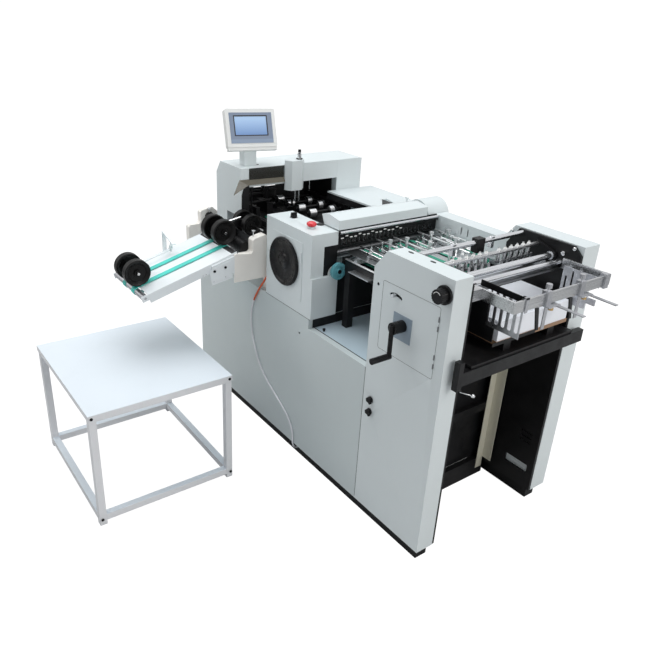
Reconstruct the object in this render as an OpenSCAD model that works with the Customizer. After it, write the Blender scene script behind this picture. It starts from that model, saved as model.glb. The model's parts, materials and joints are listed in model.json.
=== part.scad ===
// Sheet-fed paper folding machine with a suction feeder, a register table, a fold head,
// a cross-fold bridge, a side delivery and a separate receiving table.
// Working frame of the modules: x = 0 at the feeder end (the paper runs towards -X),
// y = 0 at the operator's side, z = 0 on the floor. place() moves it all so that the
// origin lies under the middle of the cabinet.

/* [Machine body] */
// Overall width over the two side casings
machine_w = 810; // [760:5:860]
// Height of the side casings above the floor
casing_h = 1227; // [1215:1:1245]
// Length of the side casings
casing_len = 398; // [380:1:420]
// Thickness of the operator's casing
casing_t = 86; // [76:1:90]
// Thickness of the drive-side casing
drive_casing_t = 97; // [86:1:102]
// Rise of the slanted corner on top of the casings
corner_rise = 78; // [50:1:90]
// Run of the slanted corner on top of the casings
corner_run = 64; // [40:1:80]
// Sheet thickness of covers and cabinets
sheet = 4; // [3:0.5:5]
// Height of the white bodies above the floor
plinth_h = 65; // [50:1:80]
// How far the plinth is set back from the bodies
plinth_inset = 27; // [15:1:40]
// Length of the cabinet
cabinet_len = 1451; // [1400:1:1500]
// Height of the cabinet's main top
cabinet_h = 768; // [750:1:775]
// Height of the cabinet's low step beside the casings
step_h = 722; // [700:1:735]
// Length of the low step
step_len = 400; // [380:1:420]

/* [Fold head] */
// Length of the fold head's housing along the machine
head_len = 356; // [340:1:370]
// Depth of the fold head's housing
head_d = 138; // [130:1:144]
// Height of the fold head's top above the floor
head_top = 1150; // [1144:1:1156]
// Diameter of the dished handwheel
handwheel_d = 222; // [200:1:228]
// Diameter of the fold rollers
roller_d = 50; // [44:1:54]
// Diameter of the roller journals and their bearings
journal_d = 20; // [16:1:24]

/* [Cross-fold bridge] */
// Length of the bridge's legs along the machine
bridge_len = 245; // [230:1:255]
// Height of the bridge's top above the floor
bridge_top = 1307; // [1295:1:1320]
// Distance over the legs of the bridge
bridge_w = 731; // [720:1:745]
// Spacing of the transport shafts
shaft_pitch = 100; // [95:1:106]
// Diameter of the transport shafts
shaft_d = 14; // [12:1:18]
// Diameter of the transport wheels
wheel_d = 38; // [34:1:40]

/* [Feeder] */
// Number of suction nozzles in each of the two groups
nozzles = 6; // [3:1:6]
// Spacing of the suction nozzles
nozzle_pitch = 36.4; // [34:0.2:37]
// Diameter of the nozzle bar
nozzle_bar_d = 18; // [16:1:20]
// Diameter of the feeder's main cross rod
cross_rod_d = 20; // [16:1:22]
// How far the side rails' top edge lies below the casings' top
rail_drop = 60; // [55:1:67]
// Depth of the side rails
rail_h = 42; // [36:1:46]
// Throw of the lift crank
crank_r = 110; // [95:1:120]
// Height of the paper pile
pile_h = 78; // [40:1:85]

/* [Delivery] */
// Width of the delivery conveyor
conveyor_w = 330; // [310:1:340]
// Length of the delivery conveyor along its slope
conveyor_len = 424; // [400:1:440]
// Slope of the delivery conveyor in degrees
conveyor_tilt = 16; // [12:0.5:18]
// Diameter of the nip wheels over the belts
nip_d = 118; // [110:1:122]
// Width of the belts
belt_w = 20; // [16:1:24]

/* [Receiving table] */
// Length of the table along the machine
table_len = 701; // [600:1:760]
// Depth of the table
table_d = 630; // [560:1:680]
// Height of the table
table_h = 542; // [480:1:600]
// Side of the square table tube
tube = 30; // [25:1:35]

/* [Hidden] */
$fn = 48;
slack = 0.3;          // gap between pieces that move past each other
run = 0.05;           // radial running clearance of a shaft in its bearing

// Main planes of the machine
cab_x1 = -casing_len;                 // cabinet end beside the casings
cab_x0 = cab_x1 - cabinet_len;        // cabinet end under the bridge
step_x = cab_x1 - step_len;           // where the cabinet steps up
head_x1 = step_x;                     // fold head, feeder-side face
head_x0 = head_x1 - head_len;
mid_x = (cab_x0 + cab_x1) / 2;        // the origin's place
mid_y = machine_w / 2;
far_in = machine_w - drive_casing_t;  // inner face of the drive-side casing
frame_t = 12;                         // black frame plates
near_frame = casing_t + slack;        // inner plates stand against the casings
far_frame = far_in - frame_t - slack;
bay_y0 = near_frame + frame_t;          // clear width between the frame plates
bay_y1 = far_frame;
drive_y = machine_w - 83;               // inner face of the drive-side beam
rail_top = casing_h - rail_drop;        // top edge of the side rails

module place() translate([-mid_x, -mid_y, 0]) children();

// Bars and sheets
module rod_x(d, x0, x1, y, z) translate([x0, y, z]) rotate([0, 90, 0]) cylinder(d = d, h = x1 - x0);
module rod_y(d, x, y0, y1, z) translate([x, y0, z]) rotate([-90, 0, 0]) cylinder(d = d, h = y1 - y0);
module rod_z(d, x, y, z0, z1) translate([x, y, z0]) cylinder(d = d, h = z1 - z0);
module slab(x0, x1, y0, y1, z0, z1) translate([x0, y0, z0]) cube([x1 - x0, y1 - y0, z1 - z0]);
// A profile in the x-z plane, carried from y0 to y1
module along_y(y0, y1) translate([0, y1, 0]) rotate([90, 0, 0]) linear_extrude(y1 - y0) children();
// A profile in the y-z plane, carried from x0 to x1
module along_x(x0, x1) translate([x0, 0, 0]) rotate([90, 0, 90]) linear_extrude(x1 - x0) children();
module round_rect(x0, x1, y0, y1, r) {
    translate([x0 + r, y0]) square([x1 - x0 - 2 * r, y1 - y0]);
    translate([x0, y0 + r]) square([x1 - x0, y1 - y0 - 2 * r]);
    for (x = [x0 + r, x1 - r], y = [y0 + r, y1 - r]) translate([x, y]) circle(r);
}
module slot_hole(x, z0, z1, w) {
    translate([x - w / 2, z0 + w / 2]) square([w, z1 - z0 - w]);
    for (z = [z0 + w / 2, z1 - w / 2]) translate([x, z]) circle(d = w);
}

// ---------- Plinth and cabinet ----------
runner_w = 60;
module base_plinth() color([0.07, 0.07, 0.08]) place() {
    x0 = cab_x0 + plinth_inset;
    inner_y0 = plinth_inset + runner_w + slack;
    inner_y1 = machine_w - plinth_inset - runner_w - slack;
    for (y = [plinth_inset, machine_w - plinth_inset - runner_w])
        slab(x0, -plinth_inset, y, y + runner_w, 0, plinth_h);
    for (x = [x0, mid_x - runner_w / 2, cab_x1 - runner_w])
        slab(x, x + runner_w, inner_y0, inner_y1, 0, plinth_h);
}

module cabinet_outline(i) polygon([[cab_x0 + i, plinth_h + i],
    [cab_x1 - i, plinth_h + i], [cab_x1 - i, step_h - i], [step_x - i, step_h - i],
    [step_x - i, cabinet_h - i], [cab_x0 + i, cabinet_h - i]]);
service_hole = [step_x - 67, 674];
cord_d = 8;
module base_cabinet() color([0.86, 0.87, 0.87]) place() difference() {
    along_y(0, machine_w) cabinet_outline(0);
    along_y(sheet, machine_w - sheet) cabinet_outline(sheet);
    rod_y(12, service_hole[0], -1, sheet + 1, service_hole[1]);
    // louvres on the drive side
    for (k = [0:7]) slab(mid_x - 150, mid_x + 150, machine_w - sheet - 1, machine_w + 1,
        330 + k * 26, 338 + k * 26);
}

// ---------- Side casings of the feeder ----------
slant = norm([corner_run, corner_rise]);
function slant_z(i) = casing_h - corner_rise - i * (slant - corner_rise) / corner_run;
function slant_x(i) = -casing_len + corner_run + i * (slant - corner_run) / corner_rise;
module casing_outline(i) polygon([[-casing_len + i + seam(i), plinth_h + i], [-i, plinth_h + i],
    [-i, casing_h - i], [slant_x(i), casing_h - i], [-casing_len + i + seam(i), slant_z(i)]]);
function seam(i) = i > 0 ? 0 : 0.5;
crank_at = [-217, casing_h - 250];
knob_at = [-37, casing_h - 62];
latch_x = -352;
latch_z = [594, 538];
panel_x = [-340, -47];
panel_z = [casing_h - 390, casing_h - 114];
plate_in = 2.5;                 // depth of the panel's seat in the casing
crank_shaft_d = 22;
knob_shaft_d = 14;
latch_d = 14;
lever_pivot = [-268, casing_h - 209];   // the speed lever swings about this point
lever_r = 62;
lever_w = 9;
lever_half = 26;                // half of the lever's swing
vent = [[-280, 63], [-168, 63]];
module lever_slot(w, a) {
    translate(lever_pivot) difference() {
        circle(lever_r + w / 2);
        circle(lever_r - w / 2);
        rotate(90 + a) translate([-200, 0]) square([400, 200]);
        rotate(90 - a) translate([-200, -200]) square([400, 200]);
    }
    for (s = [-a, a]) translate(lever_pivot + lever_r * [-sin(s), cos(s)]) circle(d = w);
}
module operator_casing() color([0.86, 0.87, 0.87]) place() difference() {
    union() {
        difference() {
            along_y(0, casing_t) casing_outline(0);
            along_y(sheet, casing_t - sheet) casing_outline(sheet);
        }
        // bearing blocks on the inner wall
        rod_y(48, crank_at[0], 34, casing_t - sheet + 0.5, crank_at[1]);
        rod_y(34, knob_at[0], sheet - 0.5, casing_t - sheet + 0.5, knob_at[1]);
        for (z = latch_z) rod_y(30, latch_x, sheet - 0.5, 30, z);
        rod_y(stud_d, lever_pivot[0], 12, casing_t - sheet + 0.5, lever_pivot[1]);
    }
    // seat and opening of the front panel
    along_y(-1, plate_in) round_rect(panel_x[0] - 1, panel_x[1] + 1, panel_z[0] - 1, panel_z[1] + 1, 9);
    along_y(-1, sheet + 1) round_rect(panel_x[0] + 12, panel_x[1] - 12, panel_z[0] + 12, panel_z[1] - 12, 9);
    rod_y(crank_shaft_d + 2 * run, crank_at[0], -1, casing_t - sheet - 4, crank_at[1]);
    rod_y(knob_shaft_d + 2 * run, knob_at[0], -1, casing_t - sheet - 4, knob_at[1]);
    for (z = latch_z) rod_y(latch_d + 2 * run, latch_x, -1, 26, z);
    for (v = vent) translate([v[0], v[1] - casing_t / 2 + 23, casing_h - sheet - 1])
        linear_extrude(sheet + 2) { square([16, 11], center = true);
            for (s = [-8, 8]) translate([s, 0]) circle(d = 11); }
    rod_y(14, cab_x1 + 29, -1, sheet + 1, casing_h - 140);
}

module crank_panel() color([0.84, 0.85, 0.85]) place() {
    difference() {
        union() {
            along_y(0, plate_in - 0.1) round_rect(panel_x[0], panel_x[1], panel_z[0], panel_z[1], 8);
            slab(crank_at[0] - 52, crank_at[0] + 45, -seat_t, 1, crank_at[1] - 61, crank_at[1] + 39);
        }
        rod_y(crank_shaft_d + 6, crank_at[0], -seat_t - 1, 10, crank_at[1]);
        along_y(-1, 10) lever_slot(lever_w + 2, lever_half);
    }
    // hinge knuckles on the free edge
    for (z = [43, 78, 188, 223]) rod_z(5, panel_x[1] - 1, -1.8, panel_z[0] + z, panel_z[0] + z + 18);
}

module drive_casing() color([0.86, 0.87, 0.87]) place() difference() {
    along_y(far_in, machine_w) casing_outline(0);
    along_y(far_in + sheet, machine_w - sheet) casing_outline(sheet);
    for (k = [0:5]) along_y(machine_w - sheet - 1, machine_w + 1)
        slot_hole(-290 + k * 34, 330, 450, 10);
}

// ---------- Pile bay ----------
bay_back = -262;                // plane of the cross members behind the pile
pile_y = [bay_y0 + 136.7, bay_y1 - 50.7];
bay_window = [-157, -34];
sill_x = [bay_back - 40, bay_back - 12];
lift_y = 170;
lift_x = bay_back + 15;
spindle_d = 20;
spindle_end_d = 14;
lift_bearings = [[60, 96], [casing_h - 261, casing_h - 239]];    // bottom and top of the spindle's two bearings
module frame_plate(y) difference() {
    along_y(y, y + frame_t) polygon([[-casing_len + 40, plinth_h + 0.2], [-2, plinth_h + 0.2],
        [-2, casing_h - 37], [-40, casing_h - 4], [-casing_len + corner_run + 30, casing_h - 4],
        [-casing_len + 40, casing_h - corner_rise]]);
    for (p = feeder_rods) rod_y(p[2] + 0.4, p[0], y - 1, y + frame_t + 1, p[1]);
}
module bay_frame() color([0.05, 0.05, 0.055]) place() {
    // frame plate on the drive side with its cable window and vent slots
    difference() {
        frame_plate(far_frame);
        along_y(far_frame - 1, far_frame + frame_t + 1) {
            round_rect(bay_window[0], bay_window[1], 142, 186, 4);
            for (k = [0:2]) translate([-100, 294 + k * 24]) square([60, 7]);
        }
    }
    frame_plate(near_frame);
    // cross members and a panel behind the pile
    y0 = near_frame + frame_t + 0.2;
    y1 = far_frame - 0.2;
    for (z = [[0, 96], [372, 412], [760, 800]]) slab(sill_x[0], sill_x[1], y0, y1, z[0], z[1]);
    slab(sill_x[0] - 20, sill_x[0] - 0.2, y0, y1, 96, 800);
    // plate and posts that carry the register table
    slab(deck_x0, cab_x1 - 0.7, drive_y - 10.2, drive_y - 0.2, step_h + 0.2, deck_z - 36);
    for (x = [deck_x0 + 42, deck_x1 - 120]) slab(x, x + 34, side_y, side_y + 34, step_h + 0.2, rail_foot - 0.2);
    // bearings of the lifting spindle, on the sill and on the frame plate
    difference() {
        slab(sill_x[1] + 0.2, lift_x + 27, lift_y - 26, lift_y + 26, lift_bearings[0][0], lift_bearings[0][1]);
        rod_z(spindle_end_d + 2 * run, lift_x, lift_y, lift_bearings[0][0] + 8, lift_bearings[0][1] + 1);
    }
    difference() {
        slab(lift_x - 25, lift_x + 25, y0, lift_y + 26, lift_bearings[1][0], lift_bearings[1][1]);
        rod_z(spindle_end_d + 2 * run, lift_x, lift_y, lift_bearings[1][0] - 1, lift_bearings[1][1] + 1);
    }
}

post_w = 40;
post_t = 4;
post_y = [bay_y1 - 370.7, bay_y1 - 12.7];
module lift_posts() color([0.84, 0.82, 0.72]) place() for (y = post_y) {
    slab(sill_x[1] + 0.2, sill_x[1] + 0.2 + post_t, y - post_w, y, 40, 760);
    slab(sill_x[1] + 0.2, sill_x[1] + 54, y - post_t, y, 97, 760);
}

module lift_spindle() color([0.6, 0.6, 0.62]) place() {
    z0 = lift_bearings[0][1] + slack;
    z1 = lift_bearings[1][0] - slack;
    rod_z(spindle_d, lift_x, lift_y, z0, z1);
    rod_z(spindle_end_d, lift_x, lift_y, z0 - 24, z1 + 24);
}

table_top_z = casing_h - 330;
table_front = 40;
plate_x0 = bay_back + 46;
nut_z = [table_top_z - 52, table_top_z - 12];
module pile_table() color([0.06, 0.06, 0.065]) place() {
    y0 = near_frame + frame_t + 8;
    y1 = far_frame - 8;
    // carried plate, with the apron that reaches past both casings in front
    difference() {
        slab(plate_x0, table_front - 6, y0, y1, table_top_z - 12, table_top_z);
        for (k = [0:3]) slab(-190, -30, pile_y[0] + 59 + k * 100, pile_y[0] + 71 + k * 100, table_top_z - 20,
            table_top_z + 1);
    }
    slab(14, table_front, 38, machine_w - 42, table_top_z - 65, table_top_z - 12.2);
    slab(14, table_front, 38, 62, table_top_z - 12.2, table_top_z + 31);
    slab(14, table_front, 38, 62, table_top_z - 82, table_top_z - 65);
    // arms under the plate, the near one with the nut of the lifting spindle
    slab(plate_x0, -20, pile_y[1] - 90, pile_y[1] - 70, nut_z[0], nut_z[1] + 1);
    difference() {
        union() {
            slab(lift_x - 22, plate_x0 + 6, lift_y - 22, lift_y + 22, nut_z[0], nut_z[1]);
            slab(plate_x0, -20, lift_y - 10, lift_y + 10, nut_z[0], nut_z[1] + 1);
        }
        rod_z(spindle_d + 2 * run, lift_x, lift_y, nut_z[0] - 1, nut_z[1] + 1);
    }
}

board_t = 14;
board_z = table_top_z + 44;         // the board stands on two bearers on the plate
module paper_pile() color([0.93, 0.93, 0.92]) place() {
    for (y = [pile_y[0] + 65, pile_y[1] - 90]) slab(plate_x0 + 8, 10, y, y + 40, table_top_z + 0.2, board_z - 0.2);
    slab(plate_x0, 25, pile_y[0], pile_y[1], board_z, board_z + board_t);
    slab(plate_x0 + 3, 22, pile_y[0] + 3, pile_y[1] - 3, board_z + board_t + 0.2, board_z + board_t + pile_h);
}

// ---------- Crank, knobs, lever and latches of the operator's casing ----------
hub_d = 46;
crank_arm_y = -54;
seat_t = 2;                     // plate behind the crank's hub
module crank() color([0.06, 0.06, 0.065]) place() {
    rod_y(crank_shaft_d, crank_at[0], -20, casing_t - sheet - 6, crank_at[1]);
    rod_y(hub_d, crank_at[0], crank_arm_y + 2, -seat_t - slack, crank_at[1]);
    rod_z(18, crank_at[0], crank_arm_y, crank_at[1] - crank_r, crank_at[1] + 14);
    rod_y(24, crank_at[0], crank_arm_y - 84, crank_arm_y + 4, crank_at[1] - crank_r);
}

knob_d = 52;
module fluted(d, n, h) linear_extrude(h) difference() {
    circle(d = d);
    for (k = [0:n - 1]) rotate(k * 360 / n) translate([d / 2 + 2, 0]) circle(3.4);
}
module feeder_knob() color([0.06, 0.06, 0.065]) place() {
    rod_y(68, knob_at[0], -10, -slack, knob_at[1]);
    translate([knob_at[0], -9, knob_at[1]]) rotate([90, 0, 0]) fluted(knob_d, 18, 31);
    rod_y(knob_shaft_d, knob_at[0], -5, casing_t - sheet - 6, knob_at[1]);
}

stud_d = 10;
module speed_lever() color([0.72, 0.72, 0.73]) place() {
    difference() {
        union() {
            rod_y(22, lever_pivot[0], 16, 30, lever_pivot[1]);
            slab(lever_pivot[0] - 6, lever_pivot[0] + 6, 18, 24, lever_pivot[1], lever_pivot[1] + lever_r);
        }
        rod_y(stud_d + 2 * run, lever_pivot[0], 15, 31, lever_pivot[1]);
    }
    rod_y(lever_w - 1, lever_pivot[0], -8, 23, lever_pivot[1] + lever_r);
    rod_y(14, lever_pivot[0], -20, -6, lever_pivot[1] + lever_r);
}

module latch(z) {
    rod_y(26, latch_x, -5, -slack, z);
    slab(latch_x - 11, latch_x + 11, -14, -4, z - 3, z + 3);
    rod_y(latch_d, latch_x, -4, 24, z);
}
module latch_upper() color([0.08, 0.08, 0.09]) place() latch(latch_z[0]);
module latch_lower() color([0.08, 0.08, 0.09]) place() latch(latch_z[1]);

// ---------- Feeder: cross rods, suction nozzles, separator comb ----------
rod1 = [-285, casing_h - 17, 15];
rod_a = [-124, casing_h - 63, cross_rod_d];     // the nozzle bar swings about this rod
rod_b = [-85, casing_h - 78, 16];
feeder_rods = [rod1, rod_a, rod_b];
nozzle_at = [-200, casing_h - 37];
nozzle_mid = (bay_y0 + bay_y1) / 2 + 16.5;
nozzle_gap = 72;                        // between the two groups of nozzles
nozzle_y = [for (s = [-1, 1], k = [0:nozzles - 1]) nozzle_mid + s * (nozzle_gap / 2 + k * nozzle_pitch)];
module collar(d, x, y0, y1, z, b) difference() {
    rod_y(d, x, y0, y1, z);
    rod_y(b, x, y0 - 1, y1 + 1, z);
}
module feeder_bars() color([0.78, 0.78, 0.79]) place() {
    for (r = feeder_rods) rod_y(r[2], r[0], near_frame, far_frame + frame_t, r[1]);
    slab(rod_b[0] - 12, rod_b[0] + 12, bay_y0 + 0.2, bay_y1 - 0.2, rod_b[1] - 27, rod_b[1] - 19);
    difference() {
        slab(rod1[0] - 16, rod1[0] + 16, nozzle_mid - 8, nozzle_mid + 34, rod1[1] - 40, rod1[1] + 17);
        rod_y(rod1[2] + 0.2, rod1[0], nozzle_mid - 9, nozzle_mid + 35, rod1[1]);
    }
    for (y = [nozzle_mid - 130, nozzle_mid + 89]) difference() {
        slab(rod1[0] - 9, rod1[0] + 9, y - 8, y + 8, rod1[1] - 34, rod1[1] + 12);
        rod_y(rod1[2] + 0.2, rod1[0], y - 9, y + 9, rod1[1]);
    }
    // set collars that keep the nozzle arms in place
    for (y = [bay_y0 + 13, bay_y1 - 25]) collar(34, rod_a[0], y, y + 12, rod_a[1], rod_a[2] + 0.2);
}

arm_t = 10;
module nozzle_arm(y) difference() {
    union() {
        along_y(y, y + arm_t) {
            translate([rod_a[0], rod_a[1]]) circle(d = 38);
            translate(nozzle_at) circle(d = 30);
            polygon([[rod_a[0] + 2, rod_a[1] + 19], [rod_a[0] - 8, rod_a[1] - 17],
                [nozzle_at[0] - 6, nozzle_at[1] - 14], [nozzle_at[0] + 6, nozzle_at[1] + 14]]);
        }
    }
    rod_y(rod_a[2] + 2 * run, rod_a[0], y - 1, y + arm_t + 1, rod_a[1]);
}
nozzle_d = 16;
nozzle_tip = 7;
module nozzle(y) difference() {
    union() {
        rod_z(nozzle_d, nozzle_at[0], y, nozzle_at[1] - 34, nozzle_at[1] + 9);
        rod_z(nozzle_d + 4, nozzle_at[0], y, nozzle_at[1] - 42, nozzle_at[1] - 33);
        translate([nozzle_at[0], y, nozzle_at[1] + 8.9]) rotate_extrude()
            polygon([[0, 0], [nozzle_d / 2, 0], [nozzle_tip / 2, 8], [nozzle_tip / 2, 11], [0, 11]]);
    }
    rod_z(5, nozzle_at[0], y, nozzle_at[1] - 43, nozzle_at[1]);
}
module nozzle_bar() color([0.1, 0.1, 0.11]) place() {
    difference() {
        rod_y(nozzle_bar_d, nozzle_at[0], bay_y0 + 2, bay_y1 - 2, nozzle_at[1]);
        for (y = nozzle_y) rod_z(nozzle_d, nozzle_at[0], y, nozzle_at[1] - 20, nozzle_at[1] + 20);
    }
    for (y = nozzle_y) nozzle(y);
    for (y = [bay_y0 + 2, bay_y1 - 2 - arm_t]) nozzle_arm(y);
}

comb_x = -181;
comb_z = [casing_h - 129, casing_h - 93, casing_h - 59];
finger_w = 14;
module separator_comb() color([0.7, 0.7, 0.71]) place() {
    along_x(comb_x, comb_x + 2) {
        translate([bay_y0 + 0.2, comb_z[0]]) square([bay_y1 - bay_y0 - 0.4, comb_z[1] - comb_z[0]]);
        for (y = nozzle_y) slot_hole(y, comb_z[0] + 5, comb_z[2], finger_w);
    }
    // angle ends against the frame plates
    for (y = [bay_y0 + 0.2, bay_y1 - 3.2]) slab(comb_x, comb_x + 30, y, y + 3, comb_z[0], comb_z[1]);
}

// ---------- Side rails, sheet guides and tail guides of the feeder ----------
rail_t = 8;
rail_y0 = 150;
rail_y1 = far_frame - 0.2;
rail_x1 = 133;
rail_z0 = rail_top - rail_h;
module side_rail_frame() color([0.06, 0.06, 0.065]) place() {
    slab(-45, rail_x1 - rail_t - 0.2, rail_y0, rail_y0 + rail_t, rail_z0, rail_top);
    slab(rod_b[0] + 12.3, rail_x1 - rail_t - 0.2, rail_y1 - rail_t, rail_y1, rail_z0, rail_top);
    slab(rail_x1 - rail_t, rail_x1, rail_y0, rail_y1, rail_z0, rail_top);
    slab(-45, -10, bay_y0 + 0.2, rail_y0 - 0.2, rail_z0, rail_top);
}

saddle_w = 26;
module saddle(y) difference() {
    slab(rail_x1 - rail_t - 10, rail_x1 + 8, y - saddle_w / 2, y + saddle_w / 2, rail_z0 - 6, rail_top + 8);
    slab(rail_x1 - rail_t - slack, rail_x1 + slack, y - 50, y + 50, rail_z0 - slack, rail_top + slack);
    slab(rail_x1 - rail_t + 2, rail_x1 - 2, y - 50, y + 50, rail_z0 - 9, rail_z0);
}
guide_t = 3;
guide_y = [rail_y0 + 60, rail_y1 - 32.5];
slot_z = [rail_top - 133, rail_top - 17];
guide_x1 = rail_x1 - rail_t - 10 + 1;
module guide_plate_near() color([0.62, 0.63, 0.64]) place() {
    saddle(guide_y[0]);
    along_y(guide_y[0] - guide_t, guide_y[0]) difference() {
        union() {
            round_rect(4, guide_x1, slot_z[0] - 18, rail_top + 6, 4);
            round_rect(-64, guide_x1, rail_z0, rail_top + 6, 4);
        }
        for (k = [0:4]) slot_hole(28 + k * 18, slot_z[0], slot_z[1], 8);
    }
}
module guide_plate_far() color([0.62, 0.63, 0.64]) place() {
    saddle(guide_y[1]);
    along_y(guide_y[1] - guide_t, guide_y[1]) difference() {
        union() {
            round_rect(-44, guide_x1, slot_z[0] + 2, slot_z[1], 4);
            round_rect(20, 76, slot_z[0] - 24, slot_z[0] + 26, 4);
        }
        slot_hole(-27, slot_z[0] + 16, slot_z[1] - 36, 9);
        slot_hole(0, slot_z[0] + 16, slot_z[1] - 10, 9);
        translate([84, slot_z[0] + 28]) square([60, 48]);
        translate([84, slot_z[0] + 52]) circle(24);
    }
}

tail_y = [mid_y - 81, mid_y + 112];
module tail_guide(y) {
    saddle(y);
    rod_z(8, rail_x1 - rail_t / 2, y, rail_top + 7, rail_top + 20);
    translate([rail_x1 - rail_t / 2, y, rail_top + 18]) fluted(22, 10, 15);
    rod_z(18, rail_x1 + 14, y + 8, rail_z0 - 16, rail_z0 - 6);
    // flat bar that carries the tail stops and can be drawn out towards the operator
    slab(rail_x1 - 34, rail_x1 + 122, y + 36, y + 52, rail_z0 - 10, rail_z0 - 6.4);
    slab(rail_x1 - 14, rail_x1 + 22, y - 12, y + 52, rail_z0 - 6.5, rail_z0 - 3);
    // hanging stops
    slab(rail_x1 - 15, rail_x1 - 12, y + 14, y + 32, rail_z0 - 105, rail_z0 - 3);
    along_x(rail_x1 - 22, rail_x1 - 17) polygon([[y - 32, rail_z0 - 9], [y - 14, rail_z0 - 9],
        [y + 8, rail_z0 - 105], [y - 6, rail_z0 - 105]]);
    slab(rail_x1 - 22, rail_x1 - 9, y - 32, y - 12, rail_z0 - 9, rail_z0 - 3);
}
module tail_guide_near() color([0.55, 0.56, 0.57]) place() tail_guide(tail_y[0]);
module tail_guide_far() color([0.55, 0.56, 0.57]) place() tail_guide(tail_y[1]);

// ---------- Register table between the casings and the fold head ----------
deck_x0 = head_x1 + 4;
deck_x1 = cab_x1 - 8;
deck_z = 1056;
bar = 20;                       // square cross bars under the slats
tape_w = 22;
tape_t = 2;
tape_r = 30;                    // outer radius of the tapes at their end pulleys
tape_z = deck_z + 4 - tape_r;   // height of the tape pulleys
tape_y = [for (y = [-143, -27, 57, 135, 267]) mid_y + y];
tape_x = [deck_x0 + 36, deck_x1 - 36];
slat_edge = [176, each [for (y = tape_y) each [y - 16, y + 16]], drive_y - 11];
side_y = 150;                   // edge rail on the operator's side
rail_foot = deck_z - 70;        // its lower edge
module register_deck() color([0.63, 0.64, 0.66]) place() {
    for (k = [0:len(tape_y)])
        slab(deck_x0, deck_x1, slat_edge[2 * k], slat_edge[2 * k + 1], deck_z - 3, deck_z);
    for (x = [deck_x0 + 88, deck_x1 - 108])
        slab(x, x + bar, side_y + 6.2, drive_y - 0.2, deck_z - 3.2 - bar, deck_z - 3.2);
    // end shafts with the tape pulleys
    for (x = tape_x) {
        rod_y(12, x, side_y + 6.2, drive_y - 0.2, tape_z);
        for (y = tape_y) rod_y(2 * (tape_r - tape_t) - 0.4, x, y - tape_w / 2 - 1, y + tape_w / 2 + 1, tape_z);
    }
    // folded edge rail and grey tray on the operator's side
    slab(deck_x0 + 38, deck_x1 - 60, side_y, side_y + 6, rail_foot, deck_z - 20);
    slab(-690, -560, side_y - 34, side_y - 0.2, 1004, 1008);
}

module tape(y) along_y(y - tape_w / 2, y + tape_w / 2) difference() {
    tape_loop(tape_r);
    tape_loop(tape_r - tape_t);
}
module tape_loop(r) {
    for (x = tape_x) translate([x, tape_z]) circle(r);
    translate([tape_x[0], tape_z - r]) square([tape_x[1] - tape_x[0], 2 * r]);
}
module carrier_tapes() color([0.13, 0.55, 0.42]) place() for (y = tape_y) tape(y);

// Posts with knurled heads hold the rods that keep the sheet down
hold_down = [[-700, mid_y - 55], [-690, mid_y + 35], [-595, mid_y + 85], [-700, mid_y + 196],
    [-585, mid_y + 233], [-690, drive_y - 25]];
rod_z_height = deck_z + 30;
module hold_down_rods() color([0.75, 0.76, 0.77]) place() for (p = hold_down) translate([p[0], p[1], 0]) {
    rod_x(7, -88, 150, 0, rod_z_height);
    rod_z(13, 0, 0, deck_z + 0.2, deck_z + 44);
    translate([0, 0, deck_z + 43]) fluted(20, 12, 11);
    rod_z(11, 118, 0, deck_z + 0.2, deck_z + 34);
}

register_wheel_at = [131, 978];
register_shaft_d = 12;
module register_handwheel() color([0.2, 0.55, 0.62]) place() difference() {
    union() {
        translate([head_x1 + 13, register_wheel_at[0], register_wheel_at[1]]) rotate([0, 90, 0]) {
            difference() {
                fluted(76, 9, 15);
                translate([0, 0, 11]) cylinder(d = 52, h = 5);
            }
            cylinder(d = 26, h = 19);
        }
        rod_x(register_shaft_d, head_x1 - 16, head_x1 + 20, register_wheel_at[0], register_wheel_at[1]);
    }
    rod_x(9, head_x1 + 26, head_x1 + 40, register_wheel_at[0], register_wheel_at[1]);
}

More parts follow.
